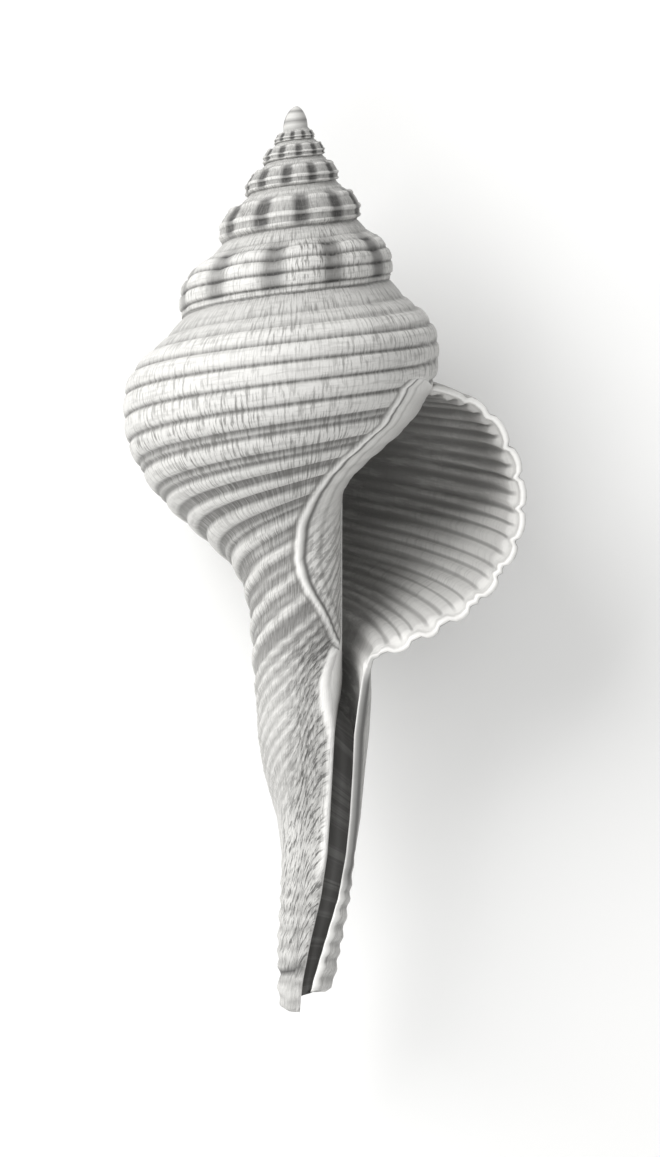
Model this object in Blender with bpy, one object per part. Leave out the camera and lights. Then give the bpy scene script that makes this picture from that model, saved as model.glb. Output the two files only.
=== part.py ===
"""A spindle shell, lying on its back with its mouth up.

The shell is one solid. Its whorls follow one growth rule: in a turn every length from the tip grows by
GROWTH_PER_TURN. The section of a whorl is drawn once and wound by that rule, the last half turn flares to
the lip, and below the whorls the same skin runs on as a long canal with an open slot.

Shell axes while it is made: X to the right, Y up the coiling axis, Z out of the mouth. All in metres.
"""

import math

import bmesh
import bpy
import numpy as np
from mathutils import Matrix, Vector

MM = 0.001

# Growth
GROWTH_PER_TURN = 1.525
SECTIONS_PER_TURN = 36
WHORL_TURNS = 6.5
MOUTH_DEPTH_TURNS = 0.7
FOOT_DEPTH_TURNS = 0.3
FOOT_DEPTH_ROWS = 4.0
MOUTH_STEPS = 9
MOUTH_CROWDING = 1.4
RIBS_PER_TURN = 12

# Size
LENGTH = 120.0 * MM
PILLAR_RADIUS = 6.0 * MM
PILLAR_CORE_RADIUS = 5.4 * MM
LIP_THICKNESS = 0.9 * MM
WALL_THICKNESS = 1.7 * MM
HOLLOW_LEAST = 0.9 * MM
LIP_THINS_TURNS = 0.15
FLARE_TURNS = 0.42
SUTURE_RETURN_TURNS = 0.11

# Half outline of a whorl, from its suture to the foot of the body whorl, at the lip's scale:
# radius and distance below the tip, for the plain whorl and for the flared lip
WHORL_OUTLINE = [
    ((18.1, 34.55), (17.5, 36.9)),
    ((19.65, 36.35), (20.2, 37.7)),
    ((22.3, 39.3), (23.7, 39.2)),
    ((24.6, 41.3), (26.3, 41.6)),
    ((26.4, 43.6), (28.0, 44.8)),
    ((27.5, 45.85), (29.1, 47.4)),
    ((27.9, 48.5), (29.7, 50.6)),
    ((27.8, 51.7), (29.75, 54.2)),
    ((27.2, 55.0), (29.0, 57.9)),
    ((25.7, 58.3), (27.4, 61.2)),
    ((23.9, 61.2), (25.6, 63.9)),
    ((21.3, 64.2), (22.9, 66.6)),
    ((17.7, 67.3), (18.6, 69.3)),
    ((13.9, 70.4), (14.2, 71.6)),
    ((10.8, 73.5), (10.7, 73.5)),
]
# The outline goes on down the pillar under the whorls
PILLAR_OUTLINE = [(9.0, 76.5), (7.9, 79.9), (7.2, 84.3), (6.4, 92.0), (6.0, 120.0)]

# Cords: rows of the mesh alternate between a groove and the crest of a cord, in outline steps
SPIRE_ROWS = [0.0, 1.0, 1.9, 2.45, 3.0, 3.6, 4.25, 5.0, 5.75, 6.35, 6.9, 7.3]
BASE_ROWS = [7.7, 8.15, 8.6, 9.15, 9.7, 10.15, 10.6, 11.0, 11.4, 11.85, 12.3, 12.75, 13.2, 13.6, 14.0]
FOOT_STEP = 14.0
CORD_HEIGHT = 0.42 * MM
GROOVE_SHARE = -0.35
CORDS_START_TURNS = (-5.9, -5.2)
RAMP_ROWS = 3
RAMP_CORD_SHARE = 0.4
CANAL_CORD_SHARE = 0.7
CANAL_CORDS_FADE_ROWS = (3.0, 13.0)
RIB_HEIGHT = 1.15 * MM
RIB_ON_CORD = 1.25
RIB_IN_GROOVE = 0.7
RIBS_FADE_TURNS = (-2.2, -0.9)

# Rounded tip: rings above the first whorl, as shares of its width and of its distance below the tip
TIP_DOME = [(0.85, 0.6), (0.6, 0.3), (0.3, 0.08)]

# Canal: distance below the tip, centre to the right of the axis, half width, slot's left and right edge
CANAL_OUTLINE = [
    (70.0, 1.9, 7.6, 6.3, 9.2),
    (75.3, 2.3, 7.7, 6.25, 8.75),
    (79.3, 2.4, 7.45, 5.3, 8.1),
    (83.3, 2.35, 7.25, 5.0, 7.6),
    (88.0, 2.45, 6.6, 4.75, 7.4),
    (94.4, 2.95, 5.5, 4.4, 7.0),
    (99.2, 2.85, 4.85, 4.05, 6.5),
    (104.8, 2.45, 4.6, 3.2, 5.5),
    (110.3, 1.75, 4.25, 1.9, 3.9),
    (115.9, 1.2, 3.75, 0.8, 2.3),
    (120.0, 0.8, 3.0, 0.4, 1.5),
]
CANAL_ROWS = 20
CANAL_DEPTH_RATIO = 0.9
CANAL_FLOOR_RATIO = -0.3
CANAL_RIM = 0.9 * MM
SWING_DROPS = (67.0 * MM, 77.0 * MM)
NECK = (72.0 * MM, 84.0 * MM)
NECK_LEAD = 6.0 * MM
NECK_LEAD_DROPS = (70.0 * MM, 75.0 * MM)
SLOT_EDGE = 0.3 * MM
SLOT_EDGE_SHARE = 0.3
LEVEL_SHARE = 0.85
# Level of the slot's floor at its end: 0 as on the lip's side, 1 as on the pillar's side
FLOOR_LEVEL = 0.15
# Where the outline's back lies, counted round from the pillar's side
BACK_RING = 0.7
LEVEL_BY_SHARE = 0.15
FRONT_LEAST = 0.06
LOBE_STEP = (0.25, 0.62)
SWING_TURNS = 0.3
PILLAR_BLEND = 0.4 * MM
WRINKLES = (100.0 * MM, 112.0 * MM)
RIGHT_LOBE_SHORTER = 2.7 * MM
CANAL_WRINKLE = 0.25 * MM

# Rest
LYING_TILT = 2.5
LYING_ROLL = -11.0
FLAT_DEPTH = 0.7 * MM
FLAT_WELD = 0.001 * MM
SHARP_ANGLE = 50.0

# Glaze of the inner lip, which smooths the cords beside the mouth: where it ends, in turns after the mouth
GLAZE_TURNS = (0.11, 0.24)
GLAZE_FADE_TURNS = 0.05
GLAZE_FADE_ROWS = (4.0, 12.0)
GLAZE_HEIGHT = 0.3 * MM

SHELL_COLOUR = (0.78, 0.77, 0.74, 1.0)
SHELL_ROUGHNESS = 0.55

SECTION_COUNT = int(round(WHORL_TURNS * SECTIONS_PER_TURN))
SPIRE_ROW_COUNT = len(SPIRE_ROWS) - 1
FOOT_ROW = SPIRE_ROW_COUNT + len(BASE_ROWS)
LAST_ROW = FOOT_ROW + CANAL_ROWS


def ease(value, start, end):
    """Smooth rise from 0 at start to 1 at end."""
    share = np.clip((value - start) / (end - start), 0.0, 1.0)
    return share * share * (3.0 - 2.0 * share)


def through(points, at):
    """Point of the smooth curve through equally counted points, at a place counted in points."""
    points = np.asarray(points, dtype=float)
    last = len(points) - 1
    at = np.clip(np.asarray(at, dtype=float), 0.0, last)
    low = np.minimum(at.astype(int), last - 1)
    share = (at - low)[..., None]
    before = points[np.maximum(low - 1, 0)]
    start = points[low]
    end = points[low + 1]
    after = points[np.minimum(low + 2, last)]
    start_slope = (end - before) / 2.0
    end_slope = (after - start) / 2.0
    chord = end - start
    curve = 3.0 * chord - 2.0 * start_slope - end_slope
    twist = start_slope + end_slope - 2.0 * chord
    return start + share * (start_slope + share * (curve + share * twist))


PLAIN_OUTLINE = [point[0] for point in WHORL_OUTLINE] + PILLAR_OUTLINE
LIP_OUTLINE = [point[1] for point in WHORL_OUTLINE] + PILLAR_OUTLINE
FINE_STEPS = np.linspace(0.0, len(PLAIN_OUTLINE) - 1.0, 600)
NEAR_STEP = 0.05
FINE_PLAIN = through(PLAIN_OUTLINE, FINE_STEPS) * MM


def growth(turn):
    """Scale of the shell at a turn, where the lip is at turn 0 and older whorls are negative."""
    return GROWTH_PER_TURN ** np.asarray(turn, dtype=float)


def flare(turn):
    return ease(turn, -FLARE_TURNS, 0.0)


def outline(turn, step):
    """Radius and distance below the tip of the plain outer skin."""
    turn = np.asarray(turn, dtype=float)
    lip_share = flare(turn)[..., None]
    plain = through(PLAIN_OUTLINE, step)
    lip = through(LIP_OUTLINE, step)
    return growth(turn)[..., None] * (plain + lip_share * (lip - plain)) * MM


def suture_drop(turn):
    """Distance below the tip of the suture that starts a whorl at this turn."""
    return outline(turn, np.zeros_like(np.asarray(turn, dtype=float)))[..., 1]


def step_at_drop(turn, drop):
    """Outline step where the older whorl reaches a distance below the tip."""
    return np.interp(drop / growth(turn), FINE_PLAIN[:, 1], FINE_STEPS)


def next_suture_step(turn):
    """Outline step on a whorl where the next whorl is attached."""
    covered = step_at_drop(turn, suture_drop(np.asarray(turn) + 1.0))
    free = step_at_drop(-2.0, suture_drop(-1.0))
    share = ease(turn, -1.0, -1.0 + SUTURE_RETURN_TURNS)
    at_lip = step_at_drop(-1.0, suture_drop(0.0))
    return np.where(turn <= -1.0, covered, at_lip + share * (free - at_lip))


def base_step(suture, row):
    """Outline step of a row between a suture and the foot of the body whorl."""
    share = (BASE_ROWS[row - SPIRE_ROW_COUNT - 1] - SPIRE_ROWS[-1]) / (FOOT_STEP - SPIRE_ROWS[-1])
    return suture + share * (FOOT_STEP - suture)


def row_step(turn, row):
    """Outline step of a row of the mesh. Rows keep to the cords and meet the next suture."""
    suture = next_suture_step(turn)
    if row <= SPIRE_ROW_COUNT:
        return SPIRE_ROWS[row] / SPIRE_ROWS[-1] * suture
    return base_step(suture, row)


def pillar_step(turn, row):
    """Outline step of a row on the hollow's inner wall, behind the mouth."""
    return base_step(next_suture_step(-2.0 - turn), row)


def canal_at(drop):
    """Canal values at a distance below the tip, in metres."""
    table = np.array(CANAL_OUTLINE)
    return [np.interp(drop / MM, table[:, 0], table[:, column]) * MM for column in range(1, 5)]


def soft_max(first, second, width):
    """The larger of two lengths, rounded where they cross."""
    return np.maximum(first, second) + width * np.log1p(np.exp(-np.abs(first - second) / width))


def place(angle, radius, drop):
    """Point at an angle round the axis, where 0 is the right side and 90 degrees the mouth's front."""
    angle = np.radians(angle)
    return np.stack([radius * np.cos(angle), -np.asarray(drop) + 0.0 * angle, radius * np.sin(angle)], axis=-1)


def cord_relief(turn, row):
    """Height of the cords and ribs on the outer skin at a row."""
    if row == 0:
        return 0.0 * turn
    scale = growth(turn)
    crest = 1.0 if row % 2 else GROOVE_SHARE
    cords = CORD_HEIGHT * crest * np.sqrt(scale)
    if row >= FOOT_ROW:
        cords = cords * (1.0 - ease(float(row - FOOT_ROW), *CANAL_CORDS_FADE_ROWS)) * CANAL_CORD_SHARE
    if row < RAMP_ROWS:
        cords = cords * RAMP_CORD_SHARE
    ribs = 0.0
    if row <= SPIRE_ROW_COUNT:
        wave = 0.5 + 0.5 * np.cos(2.0 * math.pi * RIBS_PER_TURN * turn)
        strength = 1.0 - ease(turn, *RIBS_FADE_TURNS)
        side = math.sin(math.pi * min(1.0, row / SPIRE_ROW_COUNT)) ** 0.7
        ribs = RIB_HEIGHT * scale ** 0.8 * wave * strength * side
        ribs = ribs * (RIB_ON_CORD if row % 2 else RIB_IN_GROOVE)
    early = ease(turn, *CORDS_START_TURNS)
    bare = 1.0 - glaze(turn, row)
    return (cords + ribs) * early * bare + GLAZE_HEIGHT * (1.0 - bare)


def glaze(turn, row):
    """Share of the inner lip's glaze over the outer skin: 1 beside the mouth and 0 away from it."""
    if row <= SPIRE_ROW_COUNT:
        return 0.0 * turn
    down = ease(float(row), SPIRE_ROW_COUNT, FOOT_ROW)
    away = ease(float(row - FOOT_ROW), *GLAZE_FADE_ROWS)
    border = -1.0 + GLAZE_TURNS[0] + down * (GLAZE_TURNS[1] - GLAZE_TURNS[0])
    return (1.0 - ease(turn, border - GLAZE_FADE_TURNS, border)) * (1.0 - away)


def smooth_out(turn, row, step):
    """Outer skin with its relief, for the whorls."""
    point = outline(turn, step)
    ahead = outline(turn, step + NEAR_STEP)
    behind = outline(turn, np.maximum(step - NEAR_STEP, 0.0))
    along = ahead - behind
    length = np.linalg.norm(along, axis=-1)
    out_radius = along[..., 1] / length
    out_drop = -along[..., 0] / length
    relief = cord_relief(turn, row)
    radius = point[..., 0] + relief * out_radius
    drop = point[..., 1] + relief * out_drop
    return radius, drop


def foot_drop(turn):
    return outline(turn, np.full_like(np.asarray(turn, dtype=float), FOOT_STEP))[..., 1]


def canal_end(turn):
    """Where the rows of the canal end: the pillar's side is longer than the lip's side."""
    return LENGTH - RIGHT_LOBE_SHORTER * (1.0 - ease(-turn, *LOBE_STEP))


def canal_share(row):
    return (row - FOOT_ROW) / CANAL_ROWS


def canal_front(drop, across):
    """How far the canal's skin stands out in front, at a distance to the right of the axis."""
    centre, half, _, _ = canal_at(drop)
    return CANAL_DEPTH_RATIO * half * np.sqrt(np.clip(1.0 - ((across - centre) / half) ** 2, FRONT_LEAST, 1.0))


def canal_radius(drop, angle):
    """Distance from the axis to the canal's oval skin, in a direction round the axis."""
    centre, half, _, _ = canal_at(drop)
    across = np.cos(np.radians(angle))
    out = np.sin(np.radians(angle)) / CANAL_DEPTH_RATIO
    square = across ** 2 + out ** 2
    reach = across * centre
    return (reach + np.sqrt(reach ** 2 - square * (centre ** 2 - half ** 2))) / square


def canal_swing(drop, ring):
    """How far the skin's edges swing to the front to leave only the slot open, in degrees.

    Ring 0 is the lip's side and 1 the pillar's side, counted round the back.
    """
    _, _, left, right = canal_at(drop)
    right = right + CANAL_RIM
    left = left - SLOT_EDGE
    lip_side = np.degrees(np.arctan2(canal_front(drop, right), right))
    pillar_side = np.degrees(np.arctan2(canal_front(drop, left), left))
    swing = lip_side * (1.0 - ease(ring, 0.0, SWING_TURNS)) + pillar_side * ease(ring, 1.0 - SWING_TURNS, 1.0)
    return swing * ease(drop, *SWING_DROPS)


def neck_share(drop, ring):
    """Share of the canal's oval in the skin, which takes over higher up on the lip's side."""
    lead = NECK_LEAD * (1.0 - ring) * ease(drop, *NECK_LEAD_DROPS)
    return ease(drop + lead, *NECK)


def slot_wall(drop, share, side):
    """Slot's wall, from its edge at share 0 down to the floor at share 1."""
    _, half, left, right = canal_at(drop)
    across = left if side == "left" else right
    edge = canal_front(drop, across) - SLOT_EDGE * (1.0 - ease(share, 0.0, SLOT_EDGE_SHARE))
    floor = CANAL_DEPTH_RATIO * half * CANAL_FLOOR_RATIO
    return np.stack([across, -drop, edge + share * (floor - edge)], axis=-1)


def outer_skin(turn, row):
    """Outer skin of the shell, from the suture down to the end of the canal."""
    turn = np.asarray(turn, dtype=float)
    if row <= FOOT_ROW:
        step = row_step(turn, row)
        radius, drop = smooth_out(turn, row, step)
    else:
        share = canal_share(row)
        drop = foot_drop(turn) + share * (canal_end(turn) - foot_drop(turn))
        plain = np.interp(drop / growth(turn), FINE_PLAIN[:, 1], FINE_PLAIN[:, 0]) * growth(turn)
        radius = plain + cord_relief(turn, row)
    if row <= SPIRE_ROW_COUNT:
        return place(360.0 * turn, radius, drop)
    radius = soft_max(radius, np.full_like(radius, PILLAR_CORE_RADIUS), PILLAR_BLEND)
    neck = neck_share(drop, -turn)
    angle = 360.0 * turn + canal_swing(drop, -turn)
    canal = canal_radius(drop, angle)
    if row > FOOT_ROW:
        wrinkle = CANAL_WRINKLE * ease(drop, *WRINKLES) * (1.0 if row % 2 else -1.0)
        canal = canal + cord_relief(turn, row) + wrinkle
    return place(angle, radius + neck * (canal - radius), drop)


def wall_thickness(turn):
    return LIP_THICKNESS + (WALL_THICKNESS - LIP_THICKNESS) * ease(-turn, 0.0, LIP_THINS_TURNS)


def mouth_depth(row):
    """How far back the hollow reaches at a row, in turns."""
    low = ease(float(row), SPIRE_ROW_COUNT + FOOT_DEPTH_ROWS, FOOT_ROW)
    return MOUTH_DEPTH_TURNS + low * (FOOT_DEPTH_TURNS - MOUTH_DEPTH_TURNS)


def depth_share(column):
    """Share of the hollow's depth at a column: columns lie closer near the mouth."""
    return np.float64(column / MOUTH_STEPS) ** MOUTH_CROWDING


def ring_drop(row, at_share, side):
    """Drop of a canal row inside the slot: even from one edge, round the floor, to the other."""
    share = canal_share(row)
    left = foot_drop(-1.0) + share * (canal_end(-1.0) - foot_drop(-1.0))
    right = foot_drop(0.0) + share * (canal_end(0.0) - foot_drop(0.0))
    floor = right + FLOOR_LEVEL * (left - right)
    edge = left if side == "left" else right
    return edge + at_share * LEVEL_SHARE * (floor - edge)


def inner_skin(row, column):
    """Inner skin of the outer wall, from the lip at column 0 back into the hollow."""
    share = depth_share(column)
    turn = -share * mouth_depth(row)
    thickness = wall_thickness(turn)
    if row <= FOOT_ROW:
        step = row_step(turn, row)
        point = outline(turn, step)
        along = outline(turn, step + NEAR_STEP) - outline(turn, np.maximum(step - NEAR_STEP, 0.0))
        along = along / np.linalg.norm(along)
        radius = point[0] - thickness * along[1]
        drop = point[1] + thickness * along[0]
    else:
        spread = canal_share(row)
        drop = foot_drop(turn) + spread * (canal_end(turn) - foot_drop(turn))
        level = ring_drop(row, share, "right")
        drop = drop + (level - drop) * ease(spread, 0.0, LEVEL_BY_SHARE)
        radius = np.interp(drop / growth(turn), FINE_PLAIN[:, 1], FINE_PLAIN[:, 0]) * growth(turn)
        radius = radius - thickness
    radius = max(radius, PILLAR_RADIUS + HOLLOW_LEAST)
    spiral = place(360.0 * turn + canal_swing(drop, -turn), radius, drop)
    neck = neck_share(drop, share)
    return spiral + neck * (slot_wall(drop, share, "right") - spiral)


def pillar_wall(row, column):
    """Inner wall of the hollow: the older whorl and the pillar, from the mouth back."""
    share = depth_share(column)
    turn = -1.0 - share * mouth_depth(row)
    if row <= FOOT_ROW:
        radius, drop = outline(turn, pillar_step(turn, row))
    else:
        spread = canal_share(row)
        drop = foot_drop(turn) + spread * (canal_end(-1.0) - foot_drop(turn))
        level = ring_drop(row, share, "left")
        drop = drop + (level - drop) * ease(spread, 0.0, LEVEL_BY_SHARE)
        radius = np.interp(drop / growth(turn), FINE_PLAIN[:, 1], FINE_PLAIN[:, 0]) * growth(turn)
    radius = soft_max(radius, PILLAR_RADIUS, PILLAR_BLEND)
    spiral = place(360.0 * turn + (1.0 - share) * canal_swing(drop, 1.0), radius, drop)
    neck = neck_share(drop, 1.0)
    return spiral + neck * (slot_wall(drop, share, "left") - spiral)


class Skin:
    """Points and faces of the shell while it is put together."""

    def __init__(self):
        self.points = []
        self.faces = []

    def add(self, point):
        self.points.append(np.asarray(point, dtype=float))
        return len(self.points) - 1

    def face(self, *corners):
        kept = []
        for corner in corners:
            if corner not in kept:
                kept.append(corner)
        if len(kept) > 2:
            self.faces.append(kept)

    def sheet(self, rows):
        """Faces between lists of corners, each list one row long."""
        for first, second in zip(rows[:-1], rows[1:]):
            for index in range(len(first) - 1):
                self.face(first[index], first[index + 1], second[index + 1], second[index])


    def strip(self, first, second):
        """Triangles between two lines, each a list of corners with their share of the way along."""
        one = 0
        other = 0
        while one + 1 < len(first) or other + 1 < len(second):
            ended = other + 1 == len(second)
            if ended or (one + 1 < len(first) and first[one + 1][1] <= second[other + 1][1]):
                self.face(first[one][0], first[one + 1][0], second[other][0])
                one += 1
            else:
                self.face(first[one][0], second[other + 1][0], second[other][0])
                other += 1


def around_share(ring):
    """Share of the way round the canal's end, where the middle of the slot's floor is halfway."""
    if ring < BACK_RING:
        return 0.5 * ring / BACK_RING
    return 0.5 + 0.5 * (ring - BACK_RING) / (1.0 - BACK_RING)


def shell_skin():
    """All the corners and faces of the shell, one closed skin."""
    skin = Skin()
    turns = (np.arange(SECTION_COUNT + 1) - SECTION_COUNT) / SECTIONS_PER_TURN
    spire = [outer_skin(turns, row) for row in range(SPIRE_ROW_COUNT + 1)]
    last = SECTION_COUNT - SECTIONS_PER_TURN

    names = [[None] * (SPIRE_ROW_COUNT + 1) for _ in turns]
    for section in range(SECTION_COUNT + 1):
        for row in range(SPIRE_ROW_COUNT + 1):
            if row == 0 and section >= SECTIONS_PER_TURN:
                names[section][0] = names[section - SECTIONS_PER_TURN][SPIRE_ROW_COUNT]
            else:
                names[section][row] = skin.add(spire[row][section])
    skin.sheet(names)

    edge = names[0][::-1] + [names[section][0] for section in range(1, SECTIONS_PER_TURN)]
    edge.append(edge[0])
    dome = [edge]
    for width, fall in TIP_DOME:
        ring = [skin.add(skin.points[corner] * np.array([width, fall, width])) for corner in edge[:-1]]
        dome.append(ring + ring[:1])
    skin.sheet(dome)
    tip = skin.add((0.0, 0.0, 0.0))
    for first, second in zip(dome[-1][:-1], dome[-1][1:]):
        skin.face(tip, first, second)

    body_turns = turns[last:]
    body = [names[section][SPIRE_ROW_COUNT:] for section in range(last, SECTION_COUNT + 1)]
    for row in range(SPIRE_ROW_COUNT + 1, LAST_ROW + 1):
        line = outer_skin(body_turns, row)
        for section in range(SECTIONS_PER_TURN + 1):
            body[section].append(skin.add(line[section]))
    skin.sheet(body)

    whole_lip = names[SECTION_COUNT][:SPIRE_ROW_COUNT] + body[SECTIONS_PER_TURN]
    pillar = [body[0][1:]]
    for column in range(1, MOUTH_STEPS + 1):
        pillar.append([skin.add(pillar_wall(row, column)) for row in range(SPIRE_ROW_COUNT + 1, LAST_ROW + 1)])
    skin.sheet(pillar)

    inner = []
    for column in range(MOUTH_STEPS + 1):
        line = [pillar[column][0]]
        line += [skin.add(inner_skin(row, column)) for row in range(1, LAST_ROW + 1)]
        inner.append(line)
    skin.sheet(inner)
    skin.sheet([inner[0], whole_lip])

    deep_inner = inner[MOUTH_STEPS][SPIRE_ROW_COUNT + 1:]
    skin.sheet([pillar[MOUTH_STEPS], deep_inner])
    skin.faces.append(inner[MOUTH_STEPS][:SPIRE_ROW_COUNT + 2])

    outside = []
    for section in range(SECTIONS_PER_TURN + 1):
        outside.append((body[section][-1], around_share(section / SECTIONS_PER_TURN)))
    inside = [(pillar[column][-1], 0.5 * depth_share(column)) for column in range(MOUTH_STEPS + 1)]
    for column in range(MOUTH_STEPS, -1, -1):
        inside.append((inner[column][-1], 1.0 - 0.5 * depth_share(column)))
    skin.strip(outside, inside)
    return skin


def lying(points):
    """Turn the shell onto its back and set the flat spot of the body whorl's back at height 0."""
    tilt = Matrix.Rotation(math.radians(LYING_TILT), 3, "X")
    roll = Matrix.Rotation(math.radians(LYING_ROLL), 3, "Y")
    turned = np.array(points) @ np.array((tilt @ roll).transposed())
    low = turned.min(axis=0)
    high = turned.max(axis=0)
    turned -= np.array([(low[0] + high[0]) / 2.0, (low[1] + high[1]) / 2.0, low[2] + FLAT_DEPTH])
    return turned


def make_material(name, colour, roughness):
    material = bpy.data.materials.new(name)
    material.use_nodes = True
    shader = material.node_tree.nodes["Principled BSDF"]
    shader.inputs["Base Color"].default_value = colour
    shader.inputs["Roughness"].default_value = roughness
    shader.inputs["Metallic"].default_value = 0.0
    return material


def cut_flat(shape):
    """Cut the small flat spot that the shell rests on."""
    everything = shape.verts[:] + shape.edges[:] + shape.faces[:]
    cut = bmesh.ops.bisect_plane(
        shape, geom=everything, dist=FLAT_WELD, plane_co=(0.0, 0.0, 0.0), plane_no=(0.0, 0.0, -1.0), clear_outer=True
    )
    for corner in shape.verts:
        if corner.co.z < FLAT_WELD:
            corner.co.z = 0.0
    rim = [edge for edge in cut["geom_cut"] if isinstance(edge, bmesh.types.BMEdge)]
    bmesh.ops.triangle_fill(shape, edges=rim, use_beauty=True, normal=(0.0, 0.0, -1.0))
    bmesh.ops.triangulate(shape, faces=shape.faces[:], quad_method="SHORT_EDGE")
    bmesh.ops.recalc_face_normals(shape, faces=shape.faces[:])


def make_shell(collection):
    skin = shell_skin()
    points = lying(skin.points)
    shape = bmesh.new()
    corners = [shape.verts.new(Vector(point)) for point in points]
    for face in skin.faces:
        shape.faces.new([corners[index] for index in face])
    bmesh.ops.recalc_face_normals(shape, faces=shape.faces[:])
    bmesh.ops.triangulate(shape, faces=shape.faces[:], quad_method="SHORT_EDGE")
    cut_flat(shape)
    mesh = bpy.data.meshes.new("shell")
    shape.to_mesh(mesh)
    shape.free()
    mesh.materials.append(make_material("shell", SHELL_COLOUR, SHELL_ROUGHNESS))
    mesh.shade_smooth()
    mesh.set_sharp_from_angle(angle=math.radians(SHARP_ANGLE))
    shell = bpy.data.objects.new("shell", mesh)
    collection.objects.link(shell)
    return shell


def main():
    for old in list(bpy.data.objects):
        bpy.data.objects.remove(old, do_unlink=True)
    parts = bpy.data.collections.new("spindle_shell")
    bpy.context.scene.collection.children.link(parts)
    make_shell(parts)


main()
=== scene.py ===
"""The looks of a spindle shell that lies on its back on a pale table, with its mouth up.

The shell is one grown piece and follows one rule: in each turn round its axis every length from the tip
grows by the same factor. Its skin is laid out unwound, at the lip's scale, and a geometry node tree winds it
by that rule and raises its cords and ribs. One material dresses it.
"""
import logging
import math
from dataclasses import dataclass, field
from enum import Enum
from functools import partial
from typing import Any

import bmesh
import bpy
import numpy as np
from mathutils import Matrix, Vector


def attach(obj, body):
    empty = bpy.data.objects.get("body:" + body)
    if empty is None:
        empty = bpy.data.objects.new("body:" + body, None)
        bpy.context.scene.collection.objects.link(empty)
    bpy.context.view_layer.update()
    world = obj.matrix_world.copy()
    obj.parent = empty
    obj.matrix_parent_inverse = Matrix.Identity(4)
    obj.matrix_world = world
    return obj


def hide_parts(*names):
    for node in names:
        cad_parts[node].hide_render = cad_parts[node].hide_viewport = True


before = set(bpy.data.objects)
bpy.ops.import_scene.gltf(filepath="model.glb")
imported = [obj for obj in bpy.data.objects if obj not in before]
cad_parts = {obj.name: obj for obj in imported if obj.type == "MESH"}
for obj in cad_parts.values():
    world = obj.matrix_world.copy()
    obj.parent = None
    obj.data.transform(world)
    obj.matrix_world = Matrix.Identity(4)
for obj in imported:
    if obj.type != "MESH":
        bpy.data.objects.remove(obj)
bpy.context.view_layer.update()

MM = 0.001
FULL_TURN = 360.0
# Added to the distance inside the glaze's border, which the skin carries from 0 on
BORDER_OFFSET = 4.0

MATH = "ShaderNodeMath"
RAMP = "ShaderNodeMapRange"
NOISE = "ShaderNodeTexNoise"
MIX = "ShaderNodeMix"
TIMES = {"operation": "MULTIPLY"}
TIMES_PLUS = {"operation": "MULTIPLY_ADD"}
SMOOTH = {"interpolation_type": "SMOOTHSTEP"}

log = logging.getLogger("spindle_shell")


class Side(Enum):
    """The two walls of the canal's slot, seen with the tip of the spire up."""

    PILLAR = "left"
    LIP = "right"


def ease(value: Any, start: float, end: float) -> Any:
    """Rise smoothly from 0 to 1 between a start and an end, for a number or an array."""
    share = np.clip((value - start) / (end - start), 0.0, 1.0)
    return share * share * (3.0 - 2.0 * share)


def bump(value: Any, middle: float, width: float) -> Any:
    """Give a smooth hill of height 1 at a middle, with a given half width."""
    return np.exp(-(((value - middle) / width) ** 2))


def through(points: np.ndarray, at: Any) -> np.ndarray:
    """Follow the smooth curve through equally counted points.

    Args:
        points: The points, one in each row.
        at: Places along the curve, counted in points.

    Returns:
        The curve's points at those places.
    """
    last = len(points) - 1
    at = np.clip(np.asarray(at, dtype=float), 0.0, last)
    low = np.minimum(at.astype(int), last - 1)
    share = (at - low)[..., None]
    before = points[np.maximum(low - 1, 0)]
    start = points[low]
    end = points[low + 1]
    after = points[np.minimum(low + 2, last)]
    start_slope = (end - before) / 2.0
    end_slope = (after - start) / 2.0
    chord = end - start
    curve = 3.0 * chord - 2.0 * start_slope - end_slope
    twist = start_slope + end_slope - 2.0 * chord
    return start + share * (start_slope + share * (curve + share * twist))


def soft_max(first: Any, second: Any, width: float) -> Any:
    """Take the larger of two lengths, rounded over a width where they cross."""
    return np.maximum(first, second) + width * np.log1p(np.exp(-np.abs(first - second) / width))


def place(angle: Any, radius: Any, drop: Any) -> np.ndarray:
    """Stand points round the axis, where 0 degrees is the right side and 90 the mouth's front."""
    turned = np.radians(angle)
    return np.stack([radius * np.cos(turned), -drop + 0.0 * turned, radius * np.sin(turned)], axis=-1)


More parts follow.
